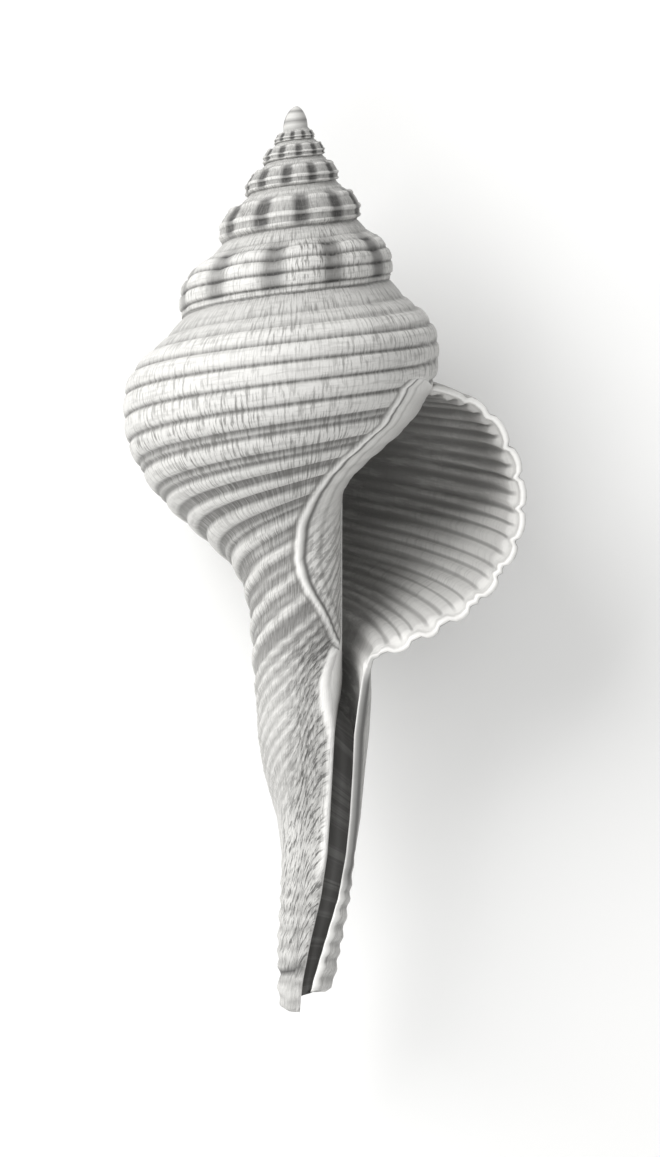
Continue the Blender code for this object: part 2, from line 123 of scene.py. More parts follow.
@dataclass(frozen=True)
class Whorls:
    """The section of a whorl and how it grows. Outlines are in millimetres at the lip's scale."""

    growth_per_turn: float = 1.525
    turns: float = 6.5
    length: float = 120.0
    flare_turns: float = 0.42
    suture_return_turns: float = 0.11
    suture_step: float = 7.3
    foot_step: float = 14.0
    fine_points: int = 2400
    # Radius and distance below the tip, for the plain whorl and for the flared lip
    outline: tuple = (
        ((18.1, 34.55), (17.5, 36.9)),
        ((19.65, 36.35), (20.2, 37.7)),
        ((22.3, 39.3), (23.7, 39.2)),
        ((24.6, 41.3), (26.3, 41.6)),
        ((26.4, 43.6), (28.0, 44.8)),
        ((27.5, 45.85), (29.1, 47.4)),
        ((27.9, 48.5), (29.7, 50.6)),
        ((27.8, 51.7), (29.75, 54.2)),
        ((27.2, 55.0), (29.0, 57.9)),
        ((25.7, 58.3), (27.4, 61.2)),
        ((23.9, 61.2), (25.6, 63.9)),
        ((21.3, 64.2), (22.9, 66.6)),
        ((17.7, 67.3), (18.6, 69.3)),
        ((13.9, 70.4), (14.2, 71.6)),
        ((10.8, 73.5), (10.7, 73.5)),
    )
    pillar: tuple = ((9.0, 76.5), (7.9, 79.9), (7.2, 84.3), (6.4, 92.0), (6.0, 120.0))

    def __post_init__(self) -> None:
        """Work out the fine outline once."""
        plain = np.array([pair[0] for pair in self.outline] + list(self.pillar))
        lip = np.array([pair[1] for pair in self.outline] + list(self.pillar))
        steps = np.linspace(0.0, len(plain) - 1.0, self.fine_points)
        object.__setattr__(self, "plain", plain)
        object.__setattr__(self, "lip", lip)
        object.__setattr__(self, "fine_steps", steps)
        object.__setattr__(self, "fine", through(plain, steps))

    def growth(self, turn: Any) -> Any:
        """Give the scale at a turn, which is 1 at the lip and less on older whorls."""
        return self.growth_per_turn ** np.asarray(turn, dtype=float)

    def flare(self, turn: Any) -> Any:
        """Give the lip's share in the section at a turn."""
        return ease(turn, -self.flare_turns, 0.0)

    def section(self, turn: Any, step: Any) -> np.ndarray:
        """Give radius and drop of the plain skin, in millimetres.

        Args:
            turn: Turns after the lip, negative for older whorls.
            step: Place along the outline, counted in its points.

        Returns:
            Radius and distance below the tip, in the last axis.
        """
        share = self.flare(turn)[..., None]
        plain = through(self.plain, step)
        return self.growth(turn)[..., None] * (plain + share * (through(self.lip, step) - plain))

    def suture_drop(self, turn: Any) -> Any:
        """Give the drop of the suture that starts a whorl at this turn."""
        return self.section(turn, np.zeros_like(turn))[..., 1]

    def foot_drop(self, turn: Any) -> Any:
        """Give the drop where the whorl's base ends and the canal starts."""
        return self.section(turn, np.full_like(turn, self.foot_step))[..., 1]

    def step_at(self, own_drop: Any) -> Any:
        """Give the outline step at a drop of the plain whorl, at the lip's scale."""
        return np.interp(own_drop, self.fine[:, 1], self.fine_steps)

    def plain_drop(self, step: Any) -> Any:
        """Give the plain whorl's drop at an outline step: the place that cords keep to."""
        return np.interp(step, self.fine_steps, self.fine[:, 1])

    def plain_radius(self, turn: Any, drop: Any) -> Any:
        """Give the radius of the plain skin at a turn and a drop."""
        scale = self.growth(turn)
        return np.interp(drop / scale, self.fine[:, 1], self.fine[:, 0]) * scale

    def next_suture_step(self, turn: Any) -> Any:
        """Give the outline step where the next whorl sits on this one.

        Args:
            turn: Turns after the lip, negative for older whorls.

        Returns:
            The step, counted in the outline's points.
        """
        covered = self.step_at(self.suture_drop(turn + 1.0) / self.growth(turn))
        free = self.step_at(self.suture_drop(np.array(-1.0)) / self.growth(-2.0))
        at_lip = self.step_at(self.suture_drop(np.array(0.0)) / self.growth(-1.0))
        share = ease(turn, -1.0, -1.0 + self.suture_return_turns)
        return np.where(turn <= -1.0, covered, at_lip + share * (free - at_lip))


@dataclass(frozen=True)
class Cord:
    """One raised cord: where it starts and ends, in millimetres below the tip at the lip's scale."""

    start: float
    end: float
    height: float = 1.0


@dataclass
class Cords:
    """The spiral cords, from the suture down to the canal."""

    edge: float = 0.42
    canal_softness: float = 0.7
    soft_drops: tuple = (74.0, 90.0)
    thread_height: float = 0.42
    crown_fall: float = 0.4
    shoulder: tuple = (
        Cord(35.0, 38.0, 0.40),
        Cord(38.6, 40.4, 0.55),
        Cord(41.0, 43.5, 0.85),
        Cord(44.1, 47.0),
        Cord(47.6, 50.7),
        Cord(51.3, 54.5),
    )
    base: tuple = (
        Cord(55.2, 57.9),
        Cord(59.9, 62.4),
        Cord(64.3, 65.9),
        Cord(67.2, 68.5),
        Cord(69.8, 71.5),
        Cord(74.0, 75.6),
        Cord(78.5, 80.3),
        Cord(84.6, 86.5),
        Cord(89.7, 91.6),
    )
    threads: tuple = (
        Cord(58.7, 59.2),
        Cord(63.1, 63.6),
        Cord(72.6, 73.1),
        Cord(76.8, 77.4),
        Cord(82.0, 83.0),
        Cord(87.8, 88.6),
    )
    # On the older whorls three narrow cords stand further apart
    early: tuple = (Cord(36.6, 37.6, 0.4), Cord(40.2, 41.9, 0.8), Cord(45.9, 47.8), Cord(50.1, 51.9))
    early_turns: tuple = (-2.9, -1.7)
    canal_first: float = 95.0
    canal_spacing: float = 2.75
    canal_width: float = 1.35
    canal_height: float = 0.8
    canal_last: float = 186.0

    def all(self) -> list[Cord]:
        """List every cord from the suture down, the canal's evenly spaced ones included.

        Returns:
            The cords, in order.
        """
        cords = list(self.shoulder) + list(self.base)
        cords += [Cord(thread.start, thread.end, self.thread_height) for thread in self.threads]
        at = self.canal_first
        while at < self.canal_last:
            cords.append(Cord(at, at + self.canal_width, self.canal_height))
            at += self.canal_spacing
        return sorted(cords, key=lambda cord: cord.start)

    def profile(self, at: np.ndarray, turn: np.ndarray) -> np.ndarray:
        """Give the cords' relief at places at the lip's scale: 1 on a cord and 0 in a groove."""
        late = ease(turn, *self.early_turns)
        return late * self.relief(self.all(), at) + (1.0 - late) * self.relief(list(self.early), at)

    def relief(self, cords: list[Cord], at: np.ndarray) -> np.ndarray:
        """Give the relief of some cords: 1 on a full cord and 0 in the bottom of a groove.

        Args:
            cords: The cords.
            at: Places in millimetres below the tip, at the lip's scale.

        Returns:
            The relief at each place.
        """
        relief = np.zeros_like(at)
        for cord in cords:
            edge = self.edge + self.canal_softness * float(ease(cord.start, *self.soft_drops))
            rise = ease(at, cord.start - edge / 2.0, cord.start + edge / 2.0)
            fall = 1.0 - ease(at, cord.end - edge / 2.0, cord.end + edge / 2.0)
            middle = (cord.start + cord.end) / 2.0
            half = (cord.end - cord.start) / 2.0
            crown = 1.0 - self.crown_fall * np.minimum(1.0, ((at - middle) / half) ** 2)
            relief = np.maximum(relief, cord.height * rise * fall * crown)
        return relief

    def rows(self, start: float, end: float, spacing: float) -> list[float]:
        """Choose rows of the mesh that keep to the cords' edges.

        Args:
            start: First row.
            end: Last row.
            spacing: Widest gap between two rows.

        Returns:
            The rows in millimetres below the tip at the lip's scale, both ends included.
        """
        marks = [start, end]
        for cord in list(self.early) + self.all():
            for edge in (cord.start, cord.end):
                marks += [edge - self.edge / 2.0, edge + self.edge / 2.0]
        marks = sorted(mark for mark in marks if start <= mark <= end)
        kept = [marks[0]]
        for mark in marks[1:]:
            gap = mark - kept[-1]
            if gap < self.edge / 4.0 and mark < end:
                continue
            count = int(math.ceil(gap / spacing))
            kept += [kept[-1] + gap * (index + 1) / count for index in range(count)]
        return kept


@dataclass(frozen=True)
class Ribs:
    """The rounded ribs across the older whorls, which fade towards the mouth."""

    per_turn: float = 10.5
    fade_turns: tuple = (-2.0, -0.6)
    start_turns: tuple = (-6.25, -5.8)
    crown: float = 0.42
    # Share of the way from suture to suture where ribs rise, and where they fall to part of their height
    rise_shares: tuple = (0.12, 0.4)
    fall_shares: tuple = (0.85, 1.0)
    fall: float = 0.6
    # Painted shade in the pits between the ribs: the rib's height where the pits start and where they are
    # full
    gap_hills: tuple = (0.84, 0.34)
    gap_crossed: float = 0.5
    gap_strength: float = 1.35

    def share(self, turn: Any, across: Any) -> Any:
        """Give the ribs' strength.

        Args:
            turn: Turns after the lip.
            across: Share of the way from the suture to the next suture.

        Returns:
            1 where the ribs have their full height.
        """
        strength = (1.0 - ease(turn, *self.fade_turns)) * ease(turn, *self.start_turns)
        rise = ease(across, *self.rise_shares)
        return strength * rise * (1.0 - self.fall * ease(across, *self.fall_shares))


@dataclass(frozen=True)
class Canal:
    """The long canal below the whorls, in millimetres from the axis and below the tip."""

    # Distance below the tip, centre to the right of the axis, half width, slot's left and right edge
    outline: tuple = (
        (70.0, 1.9, 7.6, 6.3, 9.2),
        (75.3, 2.3, 7.7, 6.25, 8.75),
        (79.3, 2.4, 7.45, 5.3, 8.1),
        (83.3, 2.35, 7.25, 5.0, 7.6),
        (88.0, 2.45, 6.6, 4.75, 7.4),
        (94.4, 2.95, 5.5, 4.4, 7.0),
        (99.2, 2.85, 4.85, 4.05, 6.5),
        (104.8, 2.45, 4.6, 3.2, 5.5),
        (110.3, 1.75, 4.25, 1.9, 3.9),
        (115.9, 1.2, 3.75, 0.8, 2.3),
        (120.0, 0.8, 3.0, 0.4, 1.5),
    )
    rows: int = 96
    depth_ratio: float = 0.9
    floor_ratio: float = -0.3
    rim: float = 0.9
    slot_edge: float = 0.3
    swing_drops: tuple = (67.0, 77.0)
    swing_turns: float = 0.3
    neck: tuple = (72.0, 84.0)
    neck_lead: float = 6.0
    neck_lead_drops: tuple = (70.0, 75.0)
    core_radius: float = 5.4
    core_blend: float = 0.4
    right_lobe_shorter: float = 2.7
    lobe_step: tuple = (0.25, 0.62)
    end_rounding: float = 1.3
    end_drawn_in: float = 0.78
    front_least: float = 0.06
    back_ring: float = 0.7
    end_place: tuple = (-0.5, 150.0)
    wall_edge: tuple = (0.0, 0.3)
    # Inside the slot rows turn level, between the longer pillar's side at 1 and the lip's side at 0
    floor_level: float = 0.15
    level_share: float = 0.85
    level_rows: tuple = (0.0, 0.15)
    # Wrinkles round the canal's lower part: radians to a millimetre, and how they sway round it and along it
    wrinkle_drops: tuple = (96.0, 106.0)
    wrinkle_height: float = 0.16
    wrinkle_rate: float = 2.7
    wrinkle_sway: float = 0.9
    wrinkle_sway_degrees: float = 33.0
    wrinkle_drift: float = 0.5
    wrinkle_drift_rate: float = 0.9
    crack_drop: float = 114.4
    crack_slant: float = 0.45
    crack_half: float = 0.55
    crack_turns: tuple = (0.3, 0.42)
    crack_depth: float = 0.5
    # Painted shade line on the lip's side, where the canal's outer wall turns from the light: millimetres
    # from the slot's edge where it starts and where it pales
    line_edge: tuple = (-0.5, -0.1)
    line_pales: tuple = (0.6, 1.0)
    line_fall: float = 0.8
    line_turns: tuple = (0.45, 0.5)
    line_starts: tuple = (74.0, 77.0)
    line_ends: tuple = (101.0, 106.0)

    def at(self, drop: Any) -> list[Any]:
        """Give centre, half width, and the slot's left and right edge at a drop."""
        table = np.array(self.outline)
        return [np.interp(drop, table[:, 0], table[:, column]) for column in range(1, 5)]

    def front(self, drop: Any, across: Any) -> Any:
        """Give how far the skin stands out in front, at a distance to the right of the axis.

        Args:
            drop: Distance below the tip.
            across: Distance to the right of the axis.

        Returns:
            Distance in front of the axis, in millimetres.
        """
        centre, half, _, _ = self.at(drop)
        share = np.clip(1.0 - ((across - centre) / half) ** 2, self.front_least, 1.0)
        return self.depth_ratio * half * np.sqrt(share)

    def radius(self, drop: Any, angle: Any) -> Any:
        """Give the distance from the axis to the oval skin, in a direction round the axis.

        Args:
            drop: Distance below the tip.
            angle: Degrees round the axis.

        Returns:
            Distance in millimetres.
        """
        centre, half, _, _ = self.at(drop)
        across = np.cos(np.radians(angle))
        out = np.sin(np.radians(angle)) / self.depth_ratio
        square = across**2 + out**2
        reach = across * centre
        return (reach + np.sqrt(reach**2 - square * (centre**2 - half**2))) / square

    def swing(self, drop: Any, ring: Any) -> Any:
        """Swing the skin's edges to the front, to leave only the slot open.

        Args:
            drop: Distance below the tip.
            ring: 0 on the lip's side and 1 on the pillar's side, counted round the back.

        Returns:
            The swing in degrees.
        """
        _, _, left, right = self.at(drop)
        right = right + self.rim
        left = left - self.slot_edge
        lip_side = np.degrees(np.arctan2(self.front(drop, right), right))
        pillar_side = np.degrees(np.arctan2(self.front(drop, left), left))
        swing = lip_side * (1.0 - ease(ring, 0.0, self.swing_turns))
        swing = swing + pillar_side * ease(ring, 1.0 - self.swing_turns, 1.0)
        return swing * ease(drop, *self.swing_drops)

    def share(self, drop: Any, ring: Any) -> Any:
        """Give the oval's share in the skin, which takes over higher up on the lip's side."""
        lead = self.neck_lead * (1.0 - ring) * ease(drop, *self.neck_lead_drops)
        return ease(drop + lead, *self.neck)

    def end(self, turn: Any, length: float) -> Any:
        """Give where the canal ends: the pillar's side is longer than the lip's side."""
        return length - self.right_lobe_shorter * (1.0 - ease(-turn, *self.lobe_step))

    def wall(self, drop: Any, share: Any, side: Side) -> np.ndarray:
        """Give a point on the slot's wall, from its edge at share 0 down to the floor at share 1.

        Args:
            drop: Distance below the tip.
            share: Way from the edge down to the floor.
            side: Which wall.

        Returns:
            The point in the shell's own axes.
        """
        _, half, left, right = self.at(drop)
        across = left if side is Side.PILLAR else right
        edge = self.front(drop, across) - self.slot_edge * (1.0 - ease(share, *self.wall_edge))
        floor = self.depth_ratio * half * self.floor_ratio
        return np.stack([across, -drop, edge + share * (floor - edge)], axis=-1)

    def wrinkles(self, drop: Any, angle: Any) -> tuple[Any, Any]:
        """Give the share of the wrinkles, and their wave from -1 to 1.

        Args:
            drop: Distance below the tip.
            angle: Degrees round the axis.

        Returns:
            The share and the wave.
        """
        sway = self.wrinkle_sway * np.sin(angle / self.wrinkle_sway_degrees)
        drift = self.wrinkle_drift * np.sin(drop * self.wrinkle_drift_rate)
        return ease(drop, *self.wrinkle_drops), np.sin(drop * self.wrinkle_rate + sway + drift)

    def crack(self, turn: Any, drop: Any, angle: Any) -> Any:
        """Give the share of the crack across the canal."""
        tilted = drop + self.crack_slant * np.cos(np.radians(angle))
        return bump(tilted, self.crack_drop, self.crack_half) * ease(-turn, *self.crack_turns)

    def shade_line(self, turn: Any, drop: Any, angle: Any, radius: Any) -> Any:
        """Give the share of the painted shade line on the lip's side, where the canal's outer wall turns from
        the light.

        Args:
            turn: Turns after the lip, negative for older whorls.
            drop: Distance below the tip.
            angle: Degrees round the axis.
            radius: Distance from the axis.

        Returns:
            1 where the line is darkest.
        """
        away = np.radians(self.swing(drop, 0.0) - angle) * radius
        line = ease(away, *self.line_edge) * (1.0 - self.line_fall * ease(away, *self.line_pales))
        along = ease(drop, *self.line_starts) * (1.0 - ease(drop, *self.line_ends))
        return line * along * (1.0 - ease(-turn, *self.line_turns))


@dataclass(frozen=True)
class Mouth:
    """The hollow behind the lip, and the glaze that the mouth lays on the older whorl."""

    depth_turns: float = 0.7
    foot_depth_turns: float = 0.3
    foot_depth_steps: tuple = (9.0, 14.0)
    columns: int = 52
    crowding: float = 1.7
    lip_thickness: float = 0.9
    wall_thickness: float = 1.7
    thins_turns: float = 0.15
    rim_lines: int = 3
    rim_bulge: float = 0.45
    pillar_radius: float = 6.0
    hollow_least: float = 0.9
    slope_step: float = 0.05
    shade_shares: tuple = (0.0, 0.3)
    deep_wear: float = 0.4
    back_mark: float = 50.0
    # Inside the lip: millimetres back from it, along a circle of the lip's radius
    lip_radius: float = 27.0
    lip_end_rows: tuple = (-2.0, 6.0)
    flutes: tuple = (0.4, 3.0)
    flute_height: float = 1.5
    lirae_spacing: float = 2.1
    # How the ridges wander: height, radians to a millimetre along the lip, and shift or drift into the mouth
    lirae_sways: tuple = ((0.1, 0.9, 2.0), (0.05, 2.3, 0.12))
    lirae_starts: tuple = (0.8, 2.6)
    # Where ridges end and the painted shade of the hollow starts: high in the mouth, and how much further
    # back when low in it
    lirae_ends: tuple = ((14.0, 8.0), (34.0, 16.0))
    lirae_low_fall: float = 0.35
    dark_shares: tuple = ((0.002, 0.12), (0.07, 0.26))
    low_steps: tuple = (5.5, 10.5)
    # Border of the glaze: distance below the tip and degrees round from the mouth's right side
    glaze_border: tuple = (
        (35.5, 34.0),
        (37.7, 44.0),
        (42.3, 50.0),
        (46.9, 65.0),
        (52.2, 79.0),
        (55.6, 89.0),
        (60.2, 93.0),
        (62.9, 86.0),
        (64.6, 78.0),
        (66.2, 66.0),
        (68.4, 51.5),
        (70.1, 41.0),
        (72.1, 33.0),
        (75.0, 30.0),
    )
    border_reach: float = 20.0
    glaze_edge: float = 0.55
    glaze_lift: float = 0.32
    glaze_bead: float = 0.3
    glaze_ends: tuple = (71.0, 75.0)
    bead_middle: float = 0.35
    bead_half: float = 0.5
    # White ridge beside the slot: its width at the top and how much narrower it gets, and where
    ridge_widths: tuple = (1.75, 1.2)
    ridge_narrows: tuple = (77.0, 86.0)
    ridge_starts: tuple = (68.0, 72.5)
    ridge_ends: tuple = (99.0, 104.0)
    ridge_edge: float = 0.25
    ridge_roundness: float = 0.6
    ridge_height: float = 0.55
    fold_starts: tuple = (0.8, 2.0)
    fold_drops: tuple = (50.0, 60.0)

    def border(self, drop: Any) -> Any:
        """Give the angle of the glaze's border at a drop, in degrees."""
        table = np.array(self.glaze_border)
        return np.interp(drop, table[:, 0], table[:, 1])


@dataclass(frozen=True)
class WearAndShade:
    """How cords fade, where the skin is marked, and the painted shade in its grooves, in millimetres below
    the tip and turns before the lip.
    """

    worn_drops: tuple = (86.0, 99.0)
    lip_side_drops: tuple = (71.0, 75.0)
    lip_side_turns: tuple = (0.1, 0.28)
    cord_under_glaze: float = 0.3
    lip_cord_gain: float = 0.5
    groove_gain: float = 1.25
    ramp_marks: tuple = (40.0, 46.0)
    ramp_share: float = 0.6
    # The painted shade in the grooves is paler on the left of the body whorl and on the neck: by how much,
    # and where that starts
    pale_left: float = 0.3
    left_turns: tuple = (1.9, 2.8)
    pale_neck: float = 0.5
    neck_drops: tuple = (70.0, 80.0)
    # Painted shade in the suture and between the canal's wrinkles, and the strength of the painted shade line
    # beside the slot
    suture_groove: float = 0.9
    wrinkle_groove: float = 0.5
    wrinkle_waves: tuple = (0.1, 1.0)
    shade_line_strength: float = 0.85
    # Speckles on the neck's left side, which start further to the right low on the canal
    speckle_starts: tuple = (66.0, 74.0)
    speckle_ends: tuple = (112.0, 118.0)
    speckle_turns: tuple = (0.62, 0.84)
    speckle_share: float = 0.82
    low_drops: tuple = (88.0, 100.0)
    low_turns: float = 0.14
    low_gain: float = 0.06
    fold_speckle: float = 0.45

    def plain(self, turn: Any, drop: Any) -> Any:
        """Give the share of the skin that isn't worn smooth."""
        lip_side = ease(drop, *self.lip_side_drops) * (1.0 - ease(-turn, *self.lip_side_turns))
        return (1.0 - ease(drop, *self.worn_drops)) * (1.0 - lip_side)

    def groove(self, turn: Any, drop: Any, mark: Any, relief: Any) -> Any:
        """Give the painted shade in the grooves between the cords.

        Args:
            turn: Turns after the lip.
            drop: Distance below the tip.
            mark: Distance below the tip at the lip's scale, which the cords keep to.
            relief: Relief of the cords.

        Returns:
            0 on a cord, and up to 1 in a groove.
        """
        groove = 1.0 - np.minimum(1.0, relief * self.groove_gain)
        ramp = self.ramp_share + (1.0 - self.ramp_share) * ease(mark, *self.ramp_marks)
        left = 1.0 - self.pale_left * ease(-turn, *self.left_turns)
        return groove * ramp * left * (1.0 - self.pale_neck * ease(drop, *self.neck_drops))

    def speckles(self, turn: Any, drop: Any) -> Any:
        """Give the share of the speckles.

        Args:
            turn: Turns after the lip, negative for older whorls.
            drop: Distance below the tip.

        Returns:
            The share, 0 away from the neck.
        """
        low = ease(drop, *self.low_drops)
        start, end = (edge - self.low_turns * low for edge in self.speckle_turns)
        along = ease(drop, *self.speckle_starts) * (1.0 - ease(drop, *self.speckle_ends))
        return ease(-turn, start, end) * along * (self.speckle_share + self.low_gain * low)


class Layer:
    """The named values that every point of the unwound skin carries."""

    FLAT = ("radius", "drop", "azimuth")
    CARRIED = ("turn", "out_radius", "out_drop", "cord", "rib", "lift", "lirae", "groove", "glaze", "depth")
    CARRIED += ("speckle", "fold", "callus", "phase", "seam")
    NAMES = FLAT + CARRIED

    def __init__(self, count: int) -> None:
        """Start with every value at 0, for a number of points."""
        self.values = {name: np.zeros(count) for name in self.NAMES}

    def __getitem__(self, name: str) -> np.ndarray:
        """Give one named value for all the points."""
        return self.values[name]

    def __setitem__(self, name: str, value: Any) -> None:
        """Set one named value for all the points."""
        self.values[name] = np.asarray(value, dtype=float) + np.zeros_like(self.values[name])

    def pick(self, where: Any) -> "Layer":
        """Give a layer of only some of the points.

        Args:
            where: Slice or numbers of the points.

        Returns:
            The new layer.
        """
        picked = Layer(len(np.atleast_1d(self.values["turn"][where])))
        for name in self.NAMES:
            picked[name] = np.atleast_1d(self.values[name][where])
        return picked

    @classmethod
    def between(cls, first: "Layer", second: "Layer", share: float) -> "Layer":
        """Give a layer part of the way between two others.

        Args:
            first: Layer at share 0.
            second: Layer at share 1.
            share: Way between them.

        Returns:
            The new layer.
        """
        mixed = cls(len(first["turn"]))
        for name in cls.NAMES:
            mixed[name] = first[name] + share * (second[name] - first[name])
        return mixed

    @classmethod
    def across(cls, layers: list["Layer"], point: int) -> "Layer":
        """Give a layer that holds one point of each of several layers.

        Args:
            layers: The layers.
            point: Number of the point in each.

        Returns:
            The new layer.
        """
        picked = cls(len(layers))
        for name in cls.NAMES:
            picked[name] = [layer[name][point] for layer in layers]
        return picked


class Skin:
    """Points, faces and face coordinates of the unwound skin while it is put together."""

    def __init__(self) -> None:
        """Start empty."""
        self.layers: list[Layer] = []
        self.count = 0
        self.faces: list[list[int]] = []
        self.grown: list[tuple[float, float]] = []

    def add(self, layer: Layer) -> np.ndarray:
        """Add a layer of points.

        Args:
            layer: The points' values.

        Returns:
            The numbers of the new points.
        """
        size = len(layer["turn"])
        self.layers.append(layer)
        self.count += size
        return np.arange(self.count - size, self.count)

    def sheet(self, names: np.ndarray, turns: np.ndarray, marks: np.ndarray) -> None:
        """Add the faces of a grid, without the corners that fall together.

        Args:
            names: Numbers of the points, in rows and columns.
            turns: Turn at each point, for the growth lines.
            marks: Place of each point down the whorl, for the cords.
        """
        for row, column in np.ndindex(names.shape[0] - 1, names.shape[1] - 1):
            places: dict[int, tuple[float, float]] = {}
            for corner in ((row, column), (row, column + 1), (row + 1, column + 1), (row + 1, column)):
                places.setdefault(int(names[corner]), (float(turns[corner]), float(marks[corner])))
            if len(places) > 2:
                self.faces.append(list(places))
                self.grown += places.values()

    def polygon(self, names: list, turn: float, mark: float) -> None:
        """Add one face of many corners."""
        self.faces.append([int(name) for name in names])
        self.grown += [(turn, mark)] * len(names)

    def strip(self, first: list, second: list, turn: float, mark: float) -> None:
        """Fill the strip between two lines of points with triangles.

        Args:
            first: The first line's points, each a number and its share of the way along.
            second: The second line's points, given in the same way.
            turn: Turn of all the faces, for the growth lines.
            mark: Place of all the faces down the whorl.
        """
        one = 0
        other = 0
        while one + 1 < len(first) or other + 1 < len(second):
            ended = other + 1 == len(second)
            if ended or (one + 1 < len(first) and first[one + 1][1] <= second[other + 1][1]):
                corners = [first[one][0], first[one + 1][0], second[other][0]]
                one += 1
            else:
                corners = [first[one][0], second[other + 1][0], second[other][0]]
                other += 1
            if len(set(corners)) == 3:
                self.polygon(corners, turn, mark)

    def mesh(self, name: str) -> bpy.types.Mesh:
        """Make the unwound mesh, with its values as attributes and its face coordinates as a UV map.

        Args:
            name: Name of the mesh.

        Returns:
            The mesh.
        """
        whole = {key: np.concatenate([layer[key] for layer in self.layers]) for key in Layer.NAMES}
        mesh = bpy.data.meshes.new(name)
        flat = np.stack([whole[key] for key in Layer.FLAT], axis=1)
        mesh.from_pydata(flat.tolist(), [], self.faces)
        for key in Layer.CARRIED:
            attribute = mesh.attributes.new(key, "FLOAT", "POINT")
            attribute.data.foreach_set("value", whole[key].astype(np.float32))
        grown = mesh.uv_layers.new(name="grown")
        grown.uv.foreach_set("vector", np.array(self.grown, dtype=np.float32).ravel())
        return mesh

def add_node(tree: Any, kind: str, inputs: dict | list | None = None, **settings: Any) -> Any:
    """Add a node to a tree, with its settings and links.

    Args:
        tree: The node tree.
        kind: Blender's name of the node type.
        inputs: Values by the inputs' names or numbers, or a list of them in the inputs' order. A value may
            also be a socket, or a node whose first output is used.
        **settings: Attributes to set on the node.

    Returns:
        The new node.
    """
    node = tree.nodes.new(kind)
    for name, value in settings.items():
        setattr(node, name, value)
    given = inputs if isinstance(inputs, dict) else dict(enumerate(inputs or []))
    for key, value in given.items():
        if isinstance(value, bpy.types.Node):
            value = value.outputs[0]
        if isinstance(value, bpy.types.NodeSocket):
            tree.links.new(value, node.inputs[key])
        else:
            node.inputs[key].default_value = value
    return node


def add_hills(tree: Any, at: Any) -> Any:
    """Add a row of smooth hills to a tree: 0 at whole numbers and 1 halfway between them.

    Args:
        tree: The node tree.
        at: Socket or node that gives the place along the row.

    Returns:
        The last node, whose output is the height.
    """
    angle = add_node(tree, MATH, [at, 2.0 * math.pi], **TIMES)
    cosine = add_node(tree, MATH, [angle], operation="COSINE")
    return add_node(tree, MATH, [cosine, -0.5, 0.5], **TIMES_PLUS)


def linear(hex_colour: str) -> tuple[float, float, float, float]:
    """Turn an sRGB hex colour to linear values.

    Args:
        hex_colour: Six hex digits after a hash sign.

    Returns:
        Red, green, blue and alpha.
    """
    parts = [int(hex_colour[index : index + 2], 16) / 255.0 for index in (1, 3, 5)]
    bent = [part / 12.92 if part <= 0.04045 else ((part + 0.055) / 1.055) ** 2.4 for part in parts]
    return bent[0], bent[1], bent[2], 1.0


